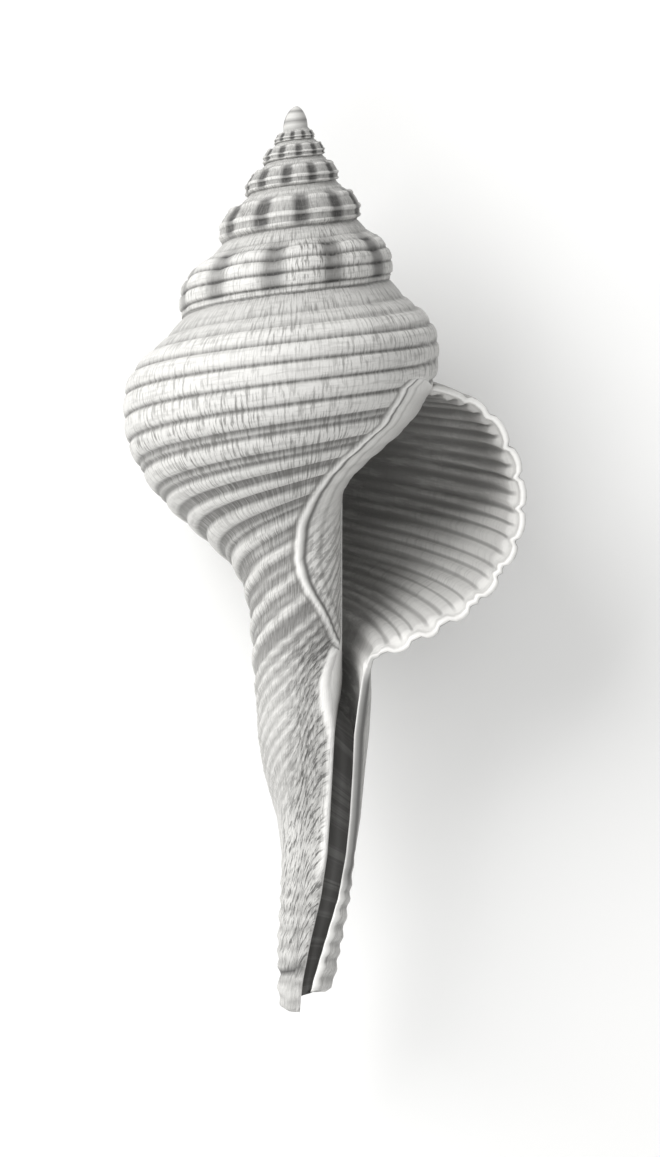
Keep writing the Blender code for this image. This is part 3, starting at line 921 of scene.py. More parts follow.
@dataclass(frozen=True)
class ChalkyShell:
    """Aragonite shell, grown in layers: a dull chalky outside with painted shade in its grooves, pits and
    hollow, and a glossy inner lip.
    """

    chalk: str = "#D2D1CE"
    # Painted shade in the grooves between cords, in the folds' creases and in the furrows inside the lip
    crease_shade: str = "#5C5B59"
    # Painted shade in the pits between the ribs and in the line beside the canal's slot; the crack across the
    # canal takes it too
    pit_shade: str = "#373635"
    growth_line: str = "#73726F"
    # Painted shade deep in the mouth's hollow and in the canal's slot
    hollow_shade: str = "#7E7D7B"
    speck: str = "#4A4947"
    porcelain: str = "#F1F0ED"
    callus: str = "#D6D5D2"
    chalk_roughness: float = 0.62
    porcelain_roughness: float = 0.3
    # Noise stretched along the growth: per turn, per millimetre down, detail, roughness, where it shows.
    # Real growth lines lie closer than these, which are as coarse as they need to be to show in the picture.
    growth_lines: tuple = (330.0, 0.28, 3.0, 0.62, 0.47, 0.64)
    threads: tuple = (26.0, 1.0 / 0.75, 2.5, 0.6, 0.48, 0.66)
    spots: tuple = (21.0, 0.78, 3.0, 0.7, 0.47, 0.62)
    cloud_size: float = 9.0
    grain_size: float = 0.35
    # Where the noise starts and ends to count, and the share that it gives there
    groove_unevenness: tuple = (0.3, 0.65, 0.55, 1.0)
    cloudiness: tuple = (0.35, 0.7, 0.25, 0.95)
    glaze_cover: float = 0.85
    gap_cover: float = 0.96
    thread_cover: float = 0.22
    lines_on_glaze: float = 0.15
    fold_spacing: float = 1.6
    fold_slope: float = 0.4
    fold_waves: tuple = (-0.2, 0.9)
    fold_cover: float = 0.5
    older_whorl: float = 0.656
    border_softness: float = 0.2
    # Painted highlight and shade lines along the glaze's raised border: distance inside it and half width in
    # millimetres, strength and colour
    border_light_and_shade: tuple = (
        (-0.35, 0.4, 0.7, "#73726F"),
        (0.4, 0.45, 0.9, "#F2F1EE"),
        (1.25, 0.55, 0.85, "#4A4947"),
        (2.4, 0.4, 0.3, "#F2F1EE"),
        (3.3, 0.5, 0.35, "#73726F"),
    )
    # Painted shade in the furrows inside the lip: their width at the lip and deep inside, their strength, and
    # how much paler the painted shade deep in the hollow is on the ridges
    furrow_widths: tuple = (0.27, 0.7)
    furrow_cover: float = 0.66
    ridge_paler: float = 0.32
    mottle: float = 0.2
    # Heights of growth lines, threads, grain and folds, as shares of the relief's height in millimetres
    relief_parts: tuple = (1.2, 0.7, 0.5, -2.5)
    relief_height: float = 0.12
    relief_strength: tuple = (0.6, 0.35)

    def build(self) -> bpy.types.Material:
        """Make the material.

        Returns:
            The material, which reads the skin's attributes and its UV map.
        """
        material = bpy.data.materials.new("chalky_shell")
        material.use_nodes = True
        tree = material.node_tree
        shader = tree.nodes["Principled BSDF"]
        add = partial(add_node, tree)
        parts = add("ShaderNodeSeparateXYZ", [add("ShaderNodeUVMap", uv_map="grown")])
        turn, mark = parts.outputs[0], parts.outputs[1]
        masks = {
            name: add("ShaderNodeAttribute", attribute_name=name).outputs["Fac"]
            for name in ("groove", "gap", "glaze", "depth", "speckle", "fold", "callus", "lirae", "phase")
        }

        stretched = []
        for along, down, detail, rough, low, high in (self.growth_lines, self.threads, self.spots):
            at = [add(MATH, [turn, along], **TIMES), add(MATH, [mark, down], **TIMES)]
            at = add("ShaderNodeCombineXYZ", at)
            noise = add(NOISE, {"Vector": at, "Scale": 1.0, "Detail": detail, "Roughness": rough})
            stretched.append((noise, add(RAMP, [noise, low, high, 0.0, 1.0], **SMOOTH)))
        (lines, line_share), (threads, thread_share), (_, spot_share) = stretched
        place_on = add("ShaderNodeTexCoord").outputs["Object"]
        cloud = add(NOISE, {"Vector": place_on, "Scale": 1.0 / (self.cloud_size * MM), "Detail": 3.0})
        fine = {"Vector": place_on, "Scale": 1.0 / (self.grain_size * MM), "Detail": 3.0, "Roughness": 0.7}
        grain = add(NOISE, fine)

        inside = add(MATH, [masks["callus"], BORDER_OFFSET], operation="SUBTRACT")
        cover = add(RAMP, [inside, -self.border_softness, self.border_softness, 0.0, 1.0], **SMOOTH)
        uneven = add(RAMP, [lines, *self.groove_unevenness])
        cloudy = add(RAMP, [cloud, *self.cloudiness])
        bare = add(RAMP, [masks["glaze"], 0.0, 1.0, 1.0, self.lines_on_glaze])
        line_cover = add(MATH, [line_share, cloudy], **TIMES)
        thread_cover = add(MATH, [thread_share, self.thread_cover], **TIMES)
        # Folds on the glaze low on the pillar: their sunken creases take painted shade
        fold_rate = 2.0 * math.pi / self.fold_spacing
        fold_down = add(MATH, [mark, self.older_whorl * fold_rate], **TIMES)
        fold_at = add(MATH, [inside, self.fold_slope * fold_rate, fold_down], **TIMES_PLUS)
        fold_wave = add(MATH, [fold_at], operation="SINE")
        fold_share = add(RAMP, [fold_wave, *self.fold_waves, 0.0, self.fold_cover], **SMOOTH)
        folds = add(MATH, [fold_share, masks["fold"]], **TIMES)
        coats = [
            (add(MATH, [masks["glaze"], self.glaze_cover], **TIMES), self.porcelain),
            (cover, self.callus),
            (add(MATH, [masks["groove"], uneven], **TIMES), self.crease_shade),
            (add(MATH, [masks["gap"], self.gap_cover], **TIMES), self.pit_shade),
            (add(MATH, [line_cover, bare], **TIMES), self.growth_line),
            (add(MATH, [thread_cover, bare], **TIMES), self.growth_line),
            (folds, self.crease_shade),
        ]
        # Painted highlight and shade lines along the glaze's raised border
        for middle, half, strength, shade in self.border_light_and_shade:
            away = add(MATH, [add(MATH, [inside, middle], operation="SUBTRACT")], operation="ABSOLUTE")
            coats.append((add(RAMP, [away, half, 0.0, 0.0, strength], **SMOOTH), shade))

        # Painted shade in the furrows between the ridges inside the lip, and deep in the hollow and slot,
        # paler on the crests and mottled
        ridge = add_hills(tree, masks["phase"])
        narrow = add(RAMP, {0: masks["depth"], 3: self.furrow_widths[0], 4: self.furrow_widths[1]})
        furrow = add(RAMP, [ridge, narrow, 0.0, 0.0, self.furrow_cover])
        crest = add(MATH, [ridge, masks["lirae"]], **TIMES)
        crest = add(MATH, [crest, -self.ridge_paler, 1.0], **TIMES_PLUS)
        mottle = add(MATH, [spot_share, -self.mottle, 1.0], **TIMES_PLUS)
        hollow_shade_share = add(MATH, [add(MATH, [masks["depth"], crest], **TIMES), mottle], **TIMES)
        coats += [
            (add(MATH, [furrow, masks["lirae"]], **TIMES), self.crease_shade),
            (add(MATH, [spot_share, masks["speckle"]], **TIMES), self.speck),
            (hollow_shade_share, self.hollow_shade),
        ]
        colour = linear(self.chalk)
        for share, shade in coats:
            colour = add(MIX, {0: share, 6: colour, 7: linear(shade)}, data_type="RGBA").outputs[2]
        rough = add(RAMP, {0: masks["glaze"], 3: self.chalk_roughness, 4: self.porcelain_roughness})

        relief = 0.0
        for pattern, height in zip((lines, threads, grain, folds), self.relief_parts):
            relief = add(MATH, [pattern, height, relief], **TIMES_PLUS)
        on_chalk, on_glaze = self.relief_strength
        strength = add(RAMP, {0: masks["glaze"], 3: on_chalk, 4: on_glaze})
        raised = {"Strength": strength, "Distance": self.relief_height * MM, "Height": relief}
        bumps = add("ShaderNodeBump", raised)
        tree.links.new(colour, shader.inputs["Base Color"])
        tree.links.new(rough.outputs[0], shader.inputs["Roughness"])
        tree.links.new(bumps.outputs[0], shader.inputs["Normal"])
        return material


@dataclass
class Shell:
    """The whole shell, from the tip of the spire to the end of the canal."""

    whorls: Whorls = field(default_factory=Whorls)
    cords: Cords = field(default_factory=Cords)
    ribs: Ribs = field(default_factory=Ribs)
    canal: Canal = field(default_factory=Canal)
    mouth: Mouth = field(default_factory=Mouth)
    wear_and_shade: WearAndShade = field(default_factory=WearAndShade)
    finish: ChalkyShell = field(default_factory=ChalkyShell)
    sections_per_turn: int = 144
    row_spacing: float = 1.1
    base_spacing: float = 0.62
    cord_height: float = 0.5
    cord_growth: float = 0.6
    rib_height: float = 1.15
    rib_growth: float = 0.75
    lirae_height: float = 0.6
    tilt: float = 2.5
    roll: float = -11.0
    dome_rings: int = 8
    dome_power: float = 1.3
    dome_band_rings: tuple = (2, 5)
    dome_band: float = 0.8
    dome_mark: float = 34.0

    def __post_init__(self) -> None:
        """Choose the rows of the mesh, and how far back the hollow reaches at each."""
        whorls = self.whorls
        marks = whorls.plain_drop(np.array([0.0, whorls.suture_step, whorls.foot_step]))
        spire = self.cords.rows(marks[0], marks[1], self.row_spacing)
        base = self.cords.rows(marks[1], marks[2], self.base_spacing)[1:]
        self.spire_steps = whorls.step_at(np.array(spire))
        self.base_steps = whorls.step_at(np.array(base))
        self.suture_row = len(spire) - 1
        self.foot_row = self.suture_row + len(base)
        self.last_row = self.foot_row + self.canal.rows
        self.section_count = int(round(whorls.turns * self.sections_per_turn))
        rows = [min(row, self.foot_row) for row in range(self.last_row + 1)]
        self.lip_steps = np.array([float(self.row_step(np.array(0.0), row)) for row in rows])
        low = ease(self.lip_steps, *self.mouth.foot_depth_steps)
        self.reach = self.mouth.depth_turns + low * (self.mouth.foot_depth_turns - self.mouth.depth_turns)

    def base_step(self, suture: Any, row: int) -> Any:
        """Give the outline step of a row between a suture and the foot.

        Args:
            suture: Outline step of the suture.
            row: The row's number.

        Returns:
            The step.
        """
        whorls = self.whorls
        step = self.base_steps[row - self.suture_row - 1]
        share = (step - whorls.suture_step) / (whorls.foot_step - whorls.suture_step)
        return suture + share * (whorls.foot_step - suture)

    def row_step(self, turn: np.ndarray, row: int) -> np.ndarray:
        """Give the outline step of a row, which meets the next suture.

        Args:
            turn: Turns after the lip, negative for older whorls.
            row: The row's number.

        Returns:
            The step at each turn.
        """
        suture = self.whorls.next_suture_step(turn)
        if row <= self.suture_row:
            return self.spire_steps[row] / self.whorls.suture_step * suture
        return self.base_step(suture, row)

    def canal_drop(self, row: int, turn: Any, end_turn: Any) -> Any:
        """Give the drop of a canal row, where rows lie evenly from a turn's foot to the canal's end there.

        Args:
            row: The row's number.
            turn: Turn of the foot that the rows start from.
            end_turn: Turn of the canal's end that they lead to.

        Returns:
            Distance below the tip.
        """
        share = (row - self.foot_row) / self.canal.rows
        start = self.whorls.foot_drop(turn)
        return start + share * (self.canal.end(end_turn, self.whorls.length) - start)

    def skin_row(self, turn: np.ndarray, row: int) -> tuple[np.ndarray, ...]:
        """Give one row of the plain outer skin.

        Args:
            turn: The row's turns.
            row: The row's number.

        Returns:
            Angle in degrees, radius and drop in millimetres, and the place that cords keep to.
        """
        whorls = self.whorls
        canal = self.canal
        if row <= self.foot_row:
            step = self.row_step(turn, row)
            point = whorls.section(turn, step)
            radius, drop = point[..., 0], point[..., 1]
            mark = whorls.plain_drop(step)
        else:
            drop = self.canal_drop(row, turn, turn)
            radius = whorls.plain_radius(turn, drop)
            mark = drop / whorls.growth(turn)
        if row <= self.suture_row:
            return FULL_TURN * turn, radius, drop, mark
        radius = soft_max(radius, canal.core_radius, canal.core_blend)
        neck = canal.share(drop, -turn)
        angle = FULL_TURN * turn + canal.swing(drop, -turn)
        oval = canal.radius(drop, angle)
        if row > self.foot_row:
            left = np.clip((canal.end(turn, whorls.length) - drop) / canal.end_rounding, 0.0, 1.0)
            oval = oval - canal.end_drawn_in * (1.0 - np.sqrt(1.0 - (1.0 - left) ** 2))
        return angle, radius + neck * (oval - radius), drop, mark

    def outer_grid(self, turn: np.ndarray, rows: range) -> dict[str, np.ndarray]:
        """Give the outer skin as a grid, with the direction in which relief stands out.

        Args:
            turn: Turns after the lip, negative for older whorls.
            rows: The rows, from 0 on.

        Returns:
            Arrays by name, with a line for each turn and a column for each row.
        """
        columns = [self.skin_row(turn, row) for row in rows]
        angle, radius, drop, mark = (np.stack(part, axis=1) for part in zip(*columns))
        along_radius = np.gradient(radius, axis=1)
        along_drop = np.gradient(drop, axis=1)
        length = np.hypot(along_radius, along_drop) + 1e-9
        turns = np.repeat(turn[:, None], len(columns), axis=1)
        return {
            "angle": angle,
            "radius": radius,
            "drop": drop,
            "mark": mark,
            "turn": turns,
            "out_radius": along_drop / length,
            "out_drop": -along_radius / length,
        }

    def layer(self, turn: Any, angle: Any, radius: Any, drop: Any) -> Layer:
        """Put points into a layer, with their lengths at the lip's scale and in metres.

        Args:
            turn: Turns after the lip, negative for older whorls.
            angle: Degrees round the axis.
            radius: Distance from the axis.
            drop: Distance below the tip.

        Returns:
            The layer, with all other values at 0.
        """
        layer = Layer(len(turn))
        scale = self.whorls.growth(turn)
        layer["turn"] = turn
        layer["azimuth"] = np.asarray(angle) / FULL_TURN
        layer["radius"] = radius * MM / scale
        layer["drop"] = drop * MM / scale
        layer["out_radius"] = 1.0
        return layer

    def outer_layer(self, grid: dict[str, np.ndarray], row: int) -> Layer:
        """Dress one row of the outer skin with its cords, ribs, glaze and marks.

        Args:
            grid: The outer skin from outer_grid, from row 0 on.
            row: The row's number.

        Returns:
            The row's points.
        """
        wear_and_shade = self.wear_and_shade
        names = ("turn", "angle", "radius", "drop", "mark", "out_radius", "out_drop")
        turn, angle, radius, drop, mark, out_radius, out_drop = (grid[name][:, row] for name in names)
        layer = self.layer(turn, angle, radius, drop)
        layer["out_radius"] = out_radius
        layer["out_drop"] = out_drop
        layer["glaze"], lift, layer["callus"], layer["fold"] = self.glaze(turn, angle, radius, drop, row)
        bare = 1.0 - layer["glaze"]
        relief = self.cords.profile(mark, turn)
        plain = wear_and_shade.plain(turn, drop) * ease(turn, *self.ribs.start_turns)
        under = wear_and_shade.cord_under_glaze + (1.0 - wear_and_shade.cord_under_glaze) * bare
        layer["cord"] = relief * plain * under * (1.0 + wear_and_shade.lip_cord_gain * self.whorls.flare(turn))
        if row <= self.suture_row:
            layer["rib"] = self.ribs.share(turn, np.full_like(turn, row / self.suture_row))
        wrinkled, wave = self.canal.wrinkles(drop, angle)
        crack = self.canal.crack(turn, drop, angle)
        raised = lift + self.canal.wrinkle_height * wrinkled * wave
        layer["lift"] = (raised - self.canal.crack_depth * crack) * MM
        # Painted shade line on the canal's outer wall, joined with the crack
        line = self.canal.shade_line(turn, drop, angle, radius)
        layer["seam"] = np.maximum(crack, wear_and_shade.shade_line_strength * line)
        # Painted shade in the grooves, between the canal's wrinkles and in the suture
        between_wrinkles = wear_and_shade.wrinkle_groove * wrinkled * ease(-wave, *wear_and_shade.wrinkle_waves)
        groove = np.maximum(wear_and_shade.groove(turn, drop, mark, relief) * plain, between_wrinkles) * bare
        if row == self.suture_row:
            groove = np.where(turn <= -1.0, wear_and_shade.suture_groove, groove)
        layer["groove"] = groove
        layer["speckle"] = np.maximum(wear_and_shade.speckles(turn, drop) * bare, wear_and_shade.fold_speckle * layer["fold"])
        return layer

    def glaze(self, turn: Any, angle: Any, radius: Any, drop: Any, row: int) -> tuple[np.ndarray, ...]:
        """Give the glaze on the outer skin beside the mouth, and the ridge beside the slot.

        Args:
            turn: The points' turns.
            angle: Their angles in degrees.
            radius: Their distances from the axis.
            drop: Their distances below the tip.
            row: Their row.

        Returns:
            Share of the glaze, how far it stands up in millimetres, the distance inside its border plus
            BORDER_OFFSET, and the share of the folds on the pillar.
        """
        if row <= self.suture_row:
            return (np.zeros_like(turn),) * 4
        mouth = self.mouth
        from_mouth = angle + FULL_TURN
        inside = np.radians(mouth.border(drop) - from_mouth) * radius
        high = 1.0 - ease(drop, *mouth.glaze_ends)
        cover = ease(inside, -mouth.glaze_edge / 2.0, mouth.glaze_edge / 2.0) * high
        bead = bump(inside, mouth.bead_middle, mouth.bead_half) * high
        slot = np.radians(from_mouth - self.canal.swing(drop, 1.0)) * radius
        wide, narrower = mouth.ridge_widths
        width = wide - narrower * ease(drop, *mouth.ridge_narrows)
        along = ease(drop, *mouth.ridge_starts) * (1.0 - ease(drop, *mouth.ridge_ends))
        ridge = along * (1.0 - ease(slot, width - mouth.ridge_edge, width + mouth.ridge_edge))
        crown = along * bump(slot, width * 0.5, width * mouth.ridge_roundness) * mouth.ridge_height
        lift = mouth.glaze_lift * cover + mouth.glaze_bead * bead + crown
        callus = np.clip(inside + BORDER_OFFSET, 0.0, mouth.border_reach) * high
        fold = cover * ease(inside, *mouth.fold_starts) * ease(drop, *mouth.fold_drops)
        return np.maximum(cover, ridge), lift, callus, fold

    def depth_share(self, column: int) -> float:
        """Give the share of the hollow's depth at a column, where columns lie closer near the lip."""
        return (column / self.mouth.columns) ** self.mouth.crowding

    def slot_level(self, row: int, share: float, side: Side, drop: float) -> float:
        """Give the drop of a canal row inside the slot, even from one edge to the other.

        Args:
            row: The row's number.
            share: Way from the slot's edge into it.
            side: Which wall.
            drop: Drop that the row has outside the slot.

        Returns:
            Distance below the tip, in millimetres.
        """
        canal = self.canal
        turns = {Side.PILLAR: np.array(-1.0), Side.LIP: np.array(0.0)}
        ends = {wall: float(self.canal_drop(row, turn, turn)) for wall, turn in turns.items()}
        floor = ends[Side.LIP] + canal.floor_level * (ends[Side.PILLAR] - ends[Side.LIP])
        level = ends[side] + share * canal.level_share * (floor - ends[side])
        down = (row - self.foot_row) / canal.rows
        return drop + (level - drop) * float(ease(down, *canal.level_rows))

    def inner_point(self, row: int, column: int) -> np.ndarray:
        """Give a point of the outer wall's inner skin, from the lip back into the hollow.

        Args:
            row: The row's number.
            column: Number of the line, counted from the lip.

        Returns:
            The point in the shell's own axes.
        """
        whorls = self.whorls
        mouth = self.mouth
        share = self.depth_share(column)
        turn = np.array(-share * self.reach[row])
        thins = ease(-turn, 0.0, mouth.thins_turns)
        thickness = mouth.lip_thickness + (mouth.wall_thickness - mouth.lip_thickness) * thins
        if row <= self.foot_row:
            step = self.row_step(turn, row)
            point = whorls.section(turn, step)
            before = np.maximum(step - mouth.slope_step, 0.0)
            along = whorls.section(turn, step + mouth.slope_step) - whorls.section(turn, before)
            along = along / np.linalg.norm(along)
            radius = point[0] - thickness * along[1]
            drop = point[1] + thickness * along[0]
        else:
            drop = self.slot_level(row, share, Side.LIP, float(self.canal_drop(row, turn, turn)))
            radius = float(whorls.plain_radius(turn, drop)) - thickness
        radius = max(radius, mouth.pillar_radius + mouth.hollow_least)
        spiral = place(FULL_TURN * turn + self.canal.swing(drop, -turn), radius, drop)
        neck = self.canal.share(drop, share)
        return spiral + neck * (self.canal.wall(drop, share, Side.LIP) - spiral)

    def pillar_point(self, row: int, column: int) -> np.ndarray:
        """Give a point of the hollow's inner wall: the older whorl and the pillar, behind the mouth.

        Args:
            row: The row's number.
            column: Number of the line, counted from the lip.

        Returns:
            The point in the shell's own axes.
        """
        whorls = self.whorls
        share = self.depth_share(column)
        turn = np.array(-1.0 - share * self.reach[row])
        if row <= self.foot_row:
            step = self.base_step(whorls.next_suture_step(-2.0 - turn), row)
            radius, drop = whorls.section(turn, step)
        else:
            drop = self.slot_level(row, share, Side.PILLAR, float(self.canal_drop(row, turn, np.array(-1.0))))
            radius = float(whorls.plain_radius(turn, drop))
        radius = soft_max(radius, self.mouth.pillar_radius, self.canal.core_blend)
        swing = (1.0 - share) * self.canal.swing(drop, 1.0)
        spiral = place(FULL_TURN * turn + swing, radius, drop)
        neck = self.canal.share(drop, 1.0)
        return spiral + neck * (self.canal.wall(drop, share, Side.PILLAR) - spiral)

    def inner_layer(self, points: np.ndarray, turn: Any, share: float) -> Layer:
        """Put points of the hollow, given in the shell's axes, into a layer.

        Args:
            points: The points, one in each row.
            turn: Their turns.
            share: Share of the hollow's depth.

        Returns:
            The layer.
        """
        radius = np.hypot(points[:, 0], points[:, 2])
        angle = np.degrees(np.arctan2(points[:, 2], points[:, 0]))
        layer = self.layer(turn, angle, radius, -points[:, 1])
        # Painted shade, darker deeper in the hollow and the slot
        layer["depth"] = ease(share, *self.mouth.shade_shares)
        layer["glaze"] = 1.0 - self.mouth.deep_wear * ease(share, *self.mouth.shade_shares)
        return layer

    def lip_layer(self, column: int, body: dict[str, np.ndarray]) -> Layer:
        """Dress one line of the lip's inside with its flutes, its ridges and its painted shade.

        Args:
            column: The line's number, counted from the lip.
            body: The outer skin of the last turn.

        Returns:
            The line's points.
        """
        mouth = self.mouth
        share = self.depth_share(column)
        points = np.array([self.inner_point(row, column) for row in range(1, self.last_row + 1)])
        turn = -share * self.reach[1:]
        layer = self.inner_layer(points, turn, share)
        edge = {name: body[name][-1] for name in ("radius", "drop", "mark", "out_radius", "out_drop")}
        layer["out_radius"] = edge["out_radius"][1:]
        layer["out_drop"] = edge["out_drop"][1:]
        along = np.cumsum(np.hypot(np.diff(edge["radius"]), np.diff(edge["drop"])))
        away = -turn * 2.0 * math.pi * mouth.lip_radius
        end_rows = [self.foot_row + rows for rows in mouth.lip_end_rows]
        on_whorl = 1.0 - ease(np.arange(1, self.last_row + 1), *end_rows)
        cords = self.cords.profile(edge["mark"], np.zeros_like(edge["mark"]))[1:]
        layer["cord"] = cords * (1.0 - ease(away, *mouth.flutes)) * mouth.flute_height * on_whorl
        low = ease(self.lip_steps[1:], *mouth.low_steps)
        start, end = (high + lower * low for high, lower in mouth.dark_shares)
        # Painted shade, darker further back in the hollow
        layer["depth"] = ease(share, start, end)
        start, end = (high + lower * low for high, lower in mouth.lirae_ends)
        lirae = ease(away, *mouth.lirae_starts) * (1.0 - ease(away, start, end)) * on_whorl
        layer["lirae"] = lirae * (1.0 - mouth.lirae_low_fall * low)
        (wide, rate, shift), (small, small_rate, drift) = mouth.lirae_sways
        sway = wide * np.sin(along * rate + shift) + small * np.sin(along * small_rate + away[0] * drift)
        layer["phase"] = along / mouth.lirae_spacing + sway
        return layer

    def lay_out(self) -> Skin:
        """Lay out the whole skin, unwound and closed.

        Returns:
            The skin, ready to be made a mesh.
        """
        skin = Skin()
        per_turn = self.sections_per_turn
        count = self.section_count
        top = self.suture_row
        turns = (np.arange(count + 1) - count) / per_turn

        spire = self.outer_grid(turns, range(top + 2))
        layers = [self.outer_layer(spire, row) for row in range(top + 1)]
        names = np.zeros((count + 1, top + 1), dtype=int)
        names[:per_turn, 0] = skin.add(layers[0].pick(slice(0, per_turn)))
        for row in range(1, top + 1):
            names[:, row] = skin.add(layers[row])
        names[per_turn:, 0] = names[:-per_turn, top]
        skin.sheet(names, spire["turn"][:, : top + 1], spire["mark"][:, : top + 1])
        self.close_tip(skin, names, layers[0], Layer.across(layers, 0))

        body = self.outer_grid(turns[count - per_turn :], range(self.last_row + 1))
        body_names = np.zeros((per_turn + 1, self.last_row - top + 1), dtype=int)
        body_names[:, 0] = names[count - per_turn :, top]
        for row in range(top + 1, self.last_row + 1):
            layers.append(self.outer_layer(body, row))
            body_names[:, row - top] = skin.add(layers[row])
        skin.sheet(body_names, body["turn"][:, top:], body["mark"][:, top:])

        lip_names = np.concatenate([names[-1][:top], body_names[-1]])
        self.open_mouth(skin, lip_names, body_names, body, Layer.across(layers[1:], -1))
        return skin

    def close_tip(self, skin: Skin, names: np.ndarray, first_line: Layer, first_section: Layer) -> None:
        """Close the tip of the spire with a smooth dome.

        Args:
            skin: The skin so far.
            names: Numbers of the spire's points.
            first_line: The upper edge of the first whorl and of all after it.
            first_section: The start of the first whorl, from its upper edge down.
        """
        per_turn = self.sections_per_turn
        start = -self.whorls.turns
        dome = [np.concatenate([names[0][::-1], names[1:per_turn, 0]])]
        for ring in range(1, self.dome_rings + 1):
            angle = math.pi / 2.0 * ring / (self.dome_rings + 1)
            pieces = []
            for source, picked in ((first_section, slice(None, None, -1)), (first_line, slice(1, per_turn))):
                layer = source.pick(picked)
                layer["radius"] = layer["radius"] * math.cos(angle) ** self.dome_power
                layer["drop"] = layer["drop"] * (1.0 - math.sin(angle))
                layer["groove"] = self.dome_band if ring in self.dome_band_rings else 0.0
                pieces.append(skin.add(layer))
            dome.append(np.concatenate(pieces))
        grid = np.array([np.append(ring, ring[0]) for ring in dome])
        skin.sheet(grid, np.full(grid.shape, start), np.full(grid.shape, self.dome_mark))
        tip = Layer(1)
        tip["turn"] = start
        tip_name = int(skin.add(tip)[0])
        for first, second in zip(grid[-1][:-1], grid[-1][1:]):
            skin.polygon([tip_name, first, second], start, self.dome_mark)

    def open_mouth(
        self,
        skin: Skin,
        lip_names: np.ndarray,
        body_names: np.ndarray,
        body: dict[str, np.ndarray],
        lip: Layer,
    ) -> None:
        """Add the hollow behind the lip, the rim of the lip, and the canal's end.

        Args:
            skin: The skin so far.
            lip_names: Numbers of the points along the lip's outside.
            body_names: Numbers of the last turn's points below its suture.
            body: The outer skin of the last turn.
            lip: The points along the lip's outside, without the first.
        """
        top = self.suture_row
        columns = range(self.mouth.columns + 1)
        back = -self.mouth.depth_turns
        low_rows = range(top + 1, self.last_row + 1)
        shares = np.array([self.depth_share(column) for column in columns])[:, None]
        pillar = np.zeros((len(columns), len(low_rows)), dtype=int)
        pillar[0] = body_names[0, 1:]
        pillar_turns = -1.0 - shares * self.reach[None, top + 1 :]
        for column in columns[1:]:
            points = np.array([self.pillar_point(row, column) for row in low_rows])
            share = self.depth_share(column)
            pillar[column] = skin.add(self.inner_layer(points, pillar_turns[column], share))
        skin.sheet(pillar, pillar_turns, np.repeat(body["mark"][:1, top + 1 :], len(columns), axis=0))

        lip_marks = body["mark"][-1:]
        inner = np.zeros((len(columns), self.last_row + 1), dtype=int)
        inner[:, 0] = pillar[:, 0]
        lines = [self.lip_layer(column, body) for column in columns]
        for column in columns:
            inner[column, 1:] = skin.add(lines[column])
        skin.sheet(inner, -shares * self.reach[None, :], np.repeat(lip_marks, len(columns), axis=0))
        rim_ends = self.round_rim(skin, lip_names, lip, inner[0], lines[0], lip_marks)

        ends = np.stack([pillar[-1], inner[-1, top + 1 :]])
        skin.sheet(ends, np.full(ends.shape, back), np.repeat(lip_marks[:, top + 1 :], 2, axis=0))
        skin.polygon(inner[-1, : top + 2], back, self.mouth.back_mark)
        self.close_canal(skin, body_names[:, -1], pillar[:, -1], inner[:, -1], rim_ends)

    def close_canal(
        self, skin: Skin, around: np.ndarray, pillar: np.ndarray, inner: np.ndarray, rim_ends: list[int]
    ) -> None:
        """Close the canal's end round its slot.

        Args:
            skin: The skin so far.
            around: Last points of the outer skin, from the pillar's side round the back to the lip's side.
            pillar: Last points of the slot's wall on the pillar's side, from its edge to the floor.
            inner: Last points of the slot's wall on the lip's side, from its edge to the floor.
            rim_ends: Last points of the rim between the outer skin and the slot's wall on the lip's side.
        """
        rings = np.linspace(0.0, 1.0, len(around))
        halves = np.interp(rings, (0.0, self.canal.back_ring, 1.0), (0.0, 0.5, 1.0))
        outside = [(int(name), float(at)) for name, at in zip(around, halves)]
        outside += [(name, 1.0) for name in rim_ends]
        depths = [0.5 * self.depth_share(column) for column in range(len(pillar))]
        inside = [(int(name), at) for name, at in zip(pillar, depths)]
        inside += [(int(name), 1.0 - at) for name, at in zip(inner, depths)][::-1]
        skin.strip(outside, inside, *self.canal.end_place)

    def round_rim(
        self,
        skin: Skin,
        lip_names: np.ndarray,
        lip: Layer,
        inner_names: np.ndarray,
        inner_lip: Layer,
        marks: np.ndarray,
    ) -> list[int]:
        """Round the edge between the lip's outside and its inside.

        Args:
            skin: The skin so far.
            lip_names: Numbers of the points along the lip's outside.
            lip: Those points, without the first.
            inner_names: Numbers of the points along the lip's inside.
            inner_lip: Those points, without the first.
            marks: The place of each point down the whorl, in one row.

        Returns:
            Numbers of the rim's points at the canal's end.
        """
        mouth = self.mouth
        lines = [lip_names]
        for line in range(1, mouth.rim_lines + 1):
            angle = math.pi * line / (mouth.rim_lines + 1)
            share = (1.0 - math.cos(angle)) / 2.0
            layer = Layer.between(lip, inner_lip, share)
            bulge = mouth.rim_bulge * MM * math.sin(angle)
            layer["azimuth"] = layer["azimuth"] + bulge / (2.0 * math.pi * layer["radius"])
            layer["glaze"] = 1.0
            layer["groove"] = 0.0
            corner = lip_names[0] if share < 0.5 else inner_names[0]
            lines.append(np.append(corner, skin.add(layer)))
        grid = np.array([*lines, inner_names])
        skin.sheet(grid, np.zeros(grid.shape), np.repeat(marks, len(grid), axis=0))
        return [int(name) for name in grid[1:-1, -1]]

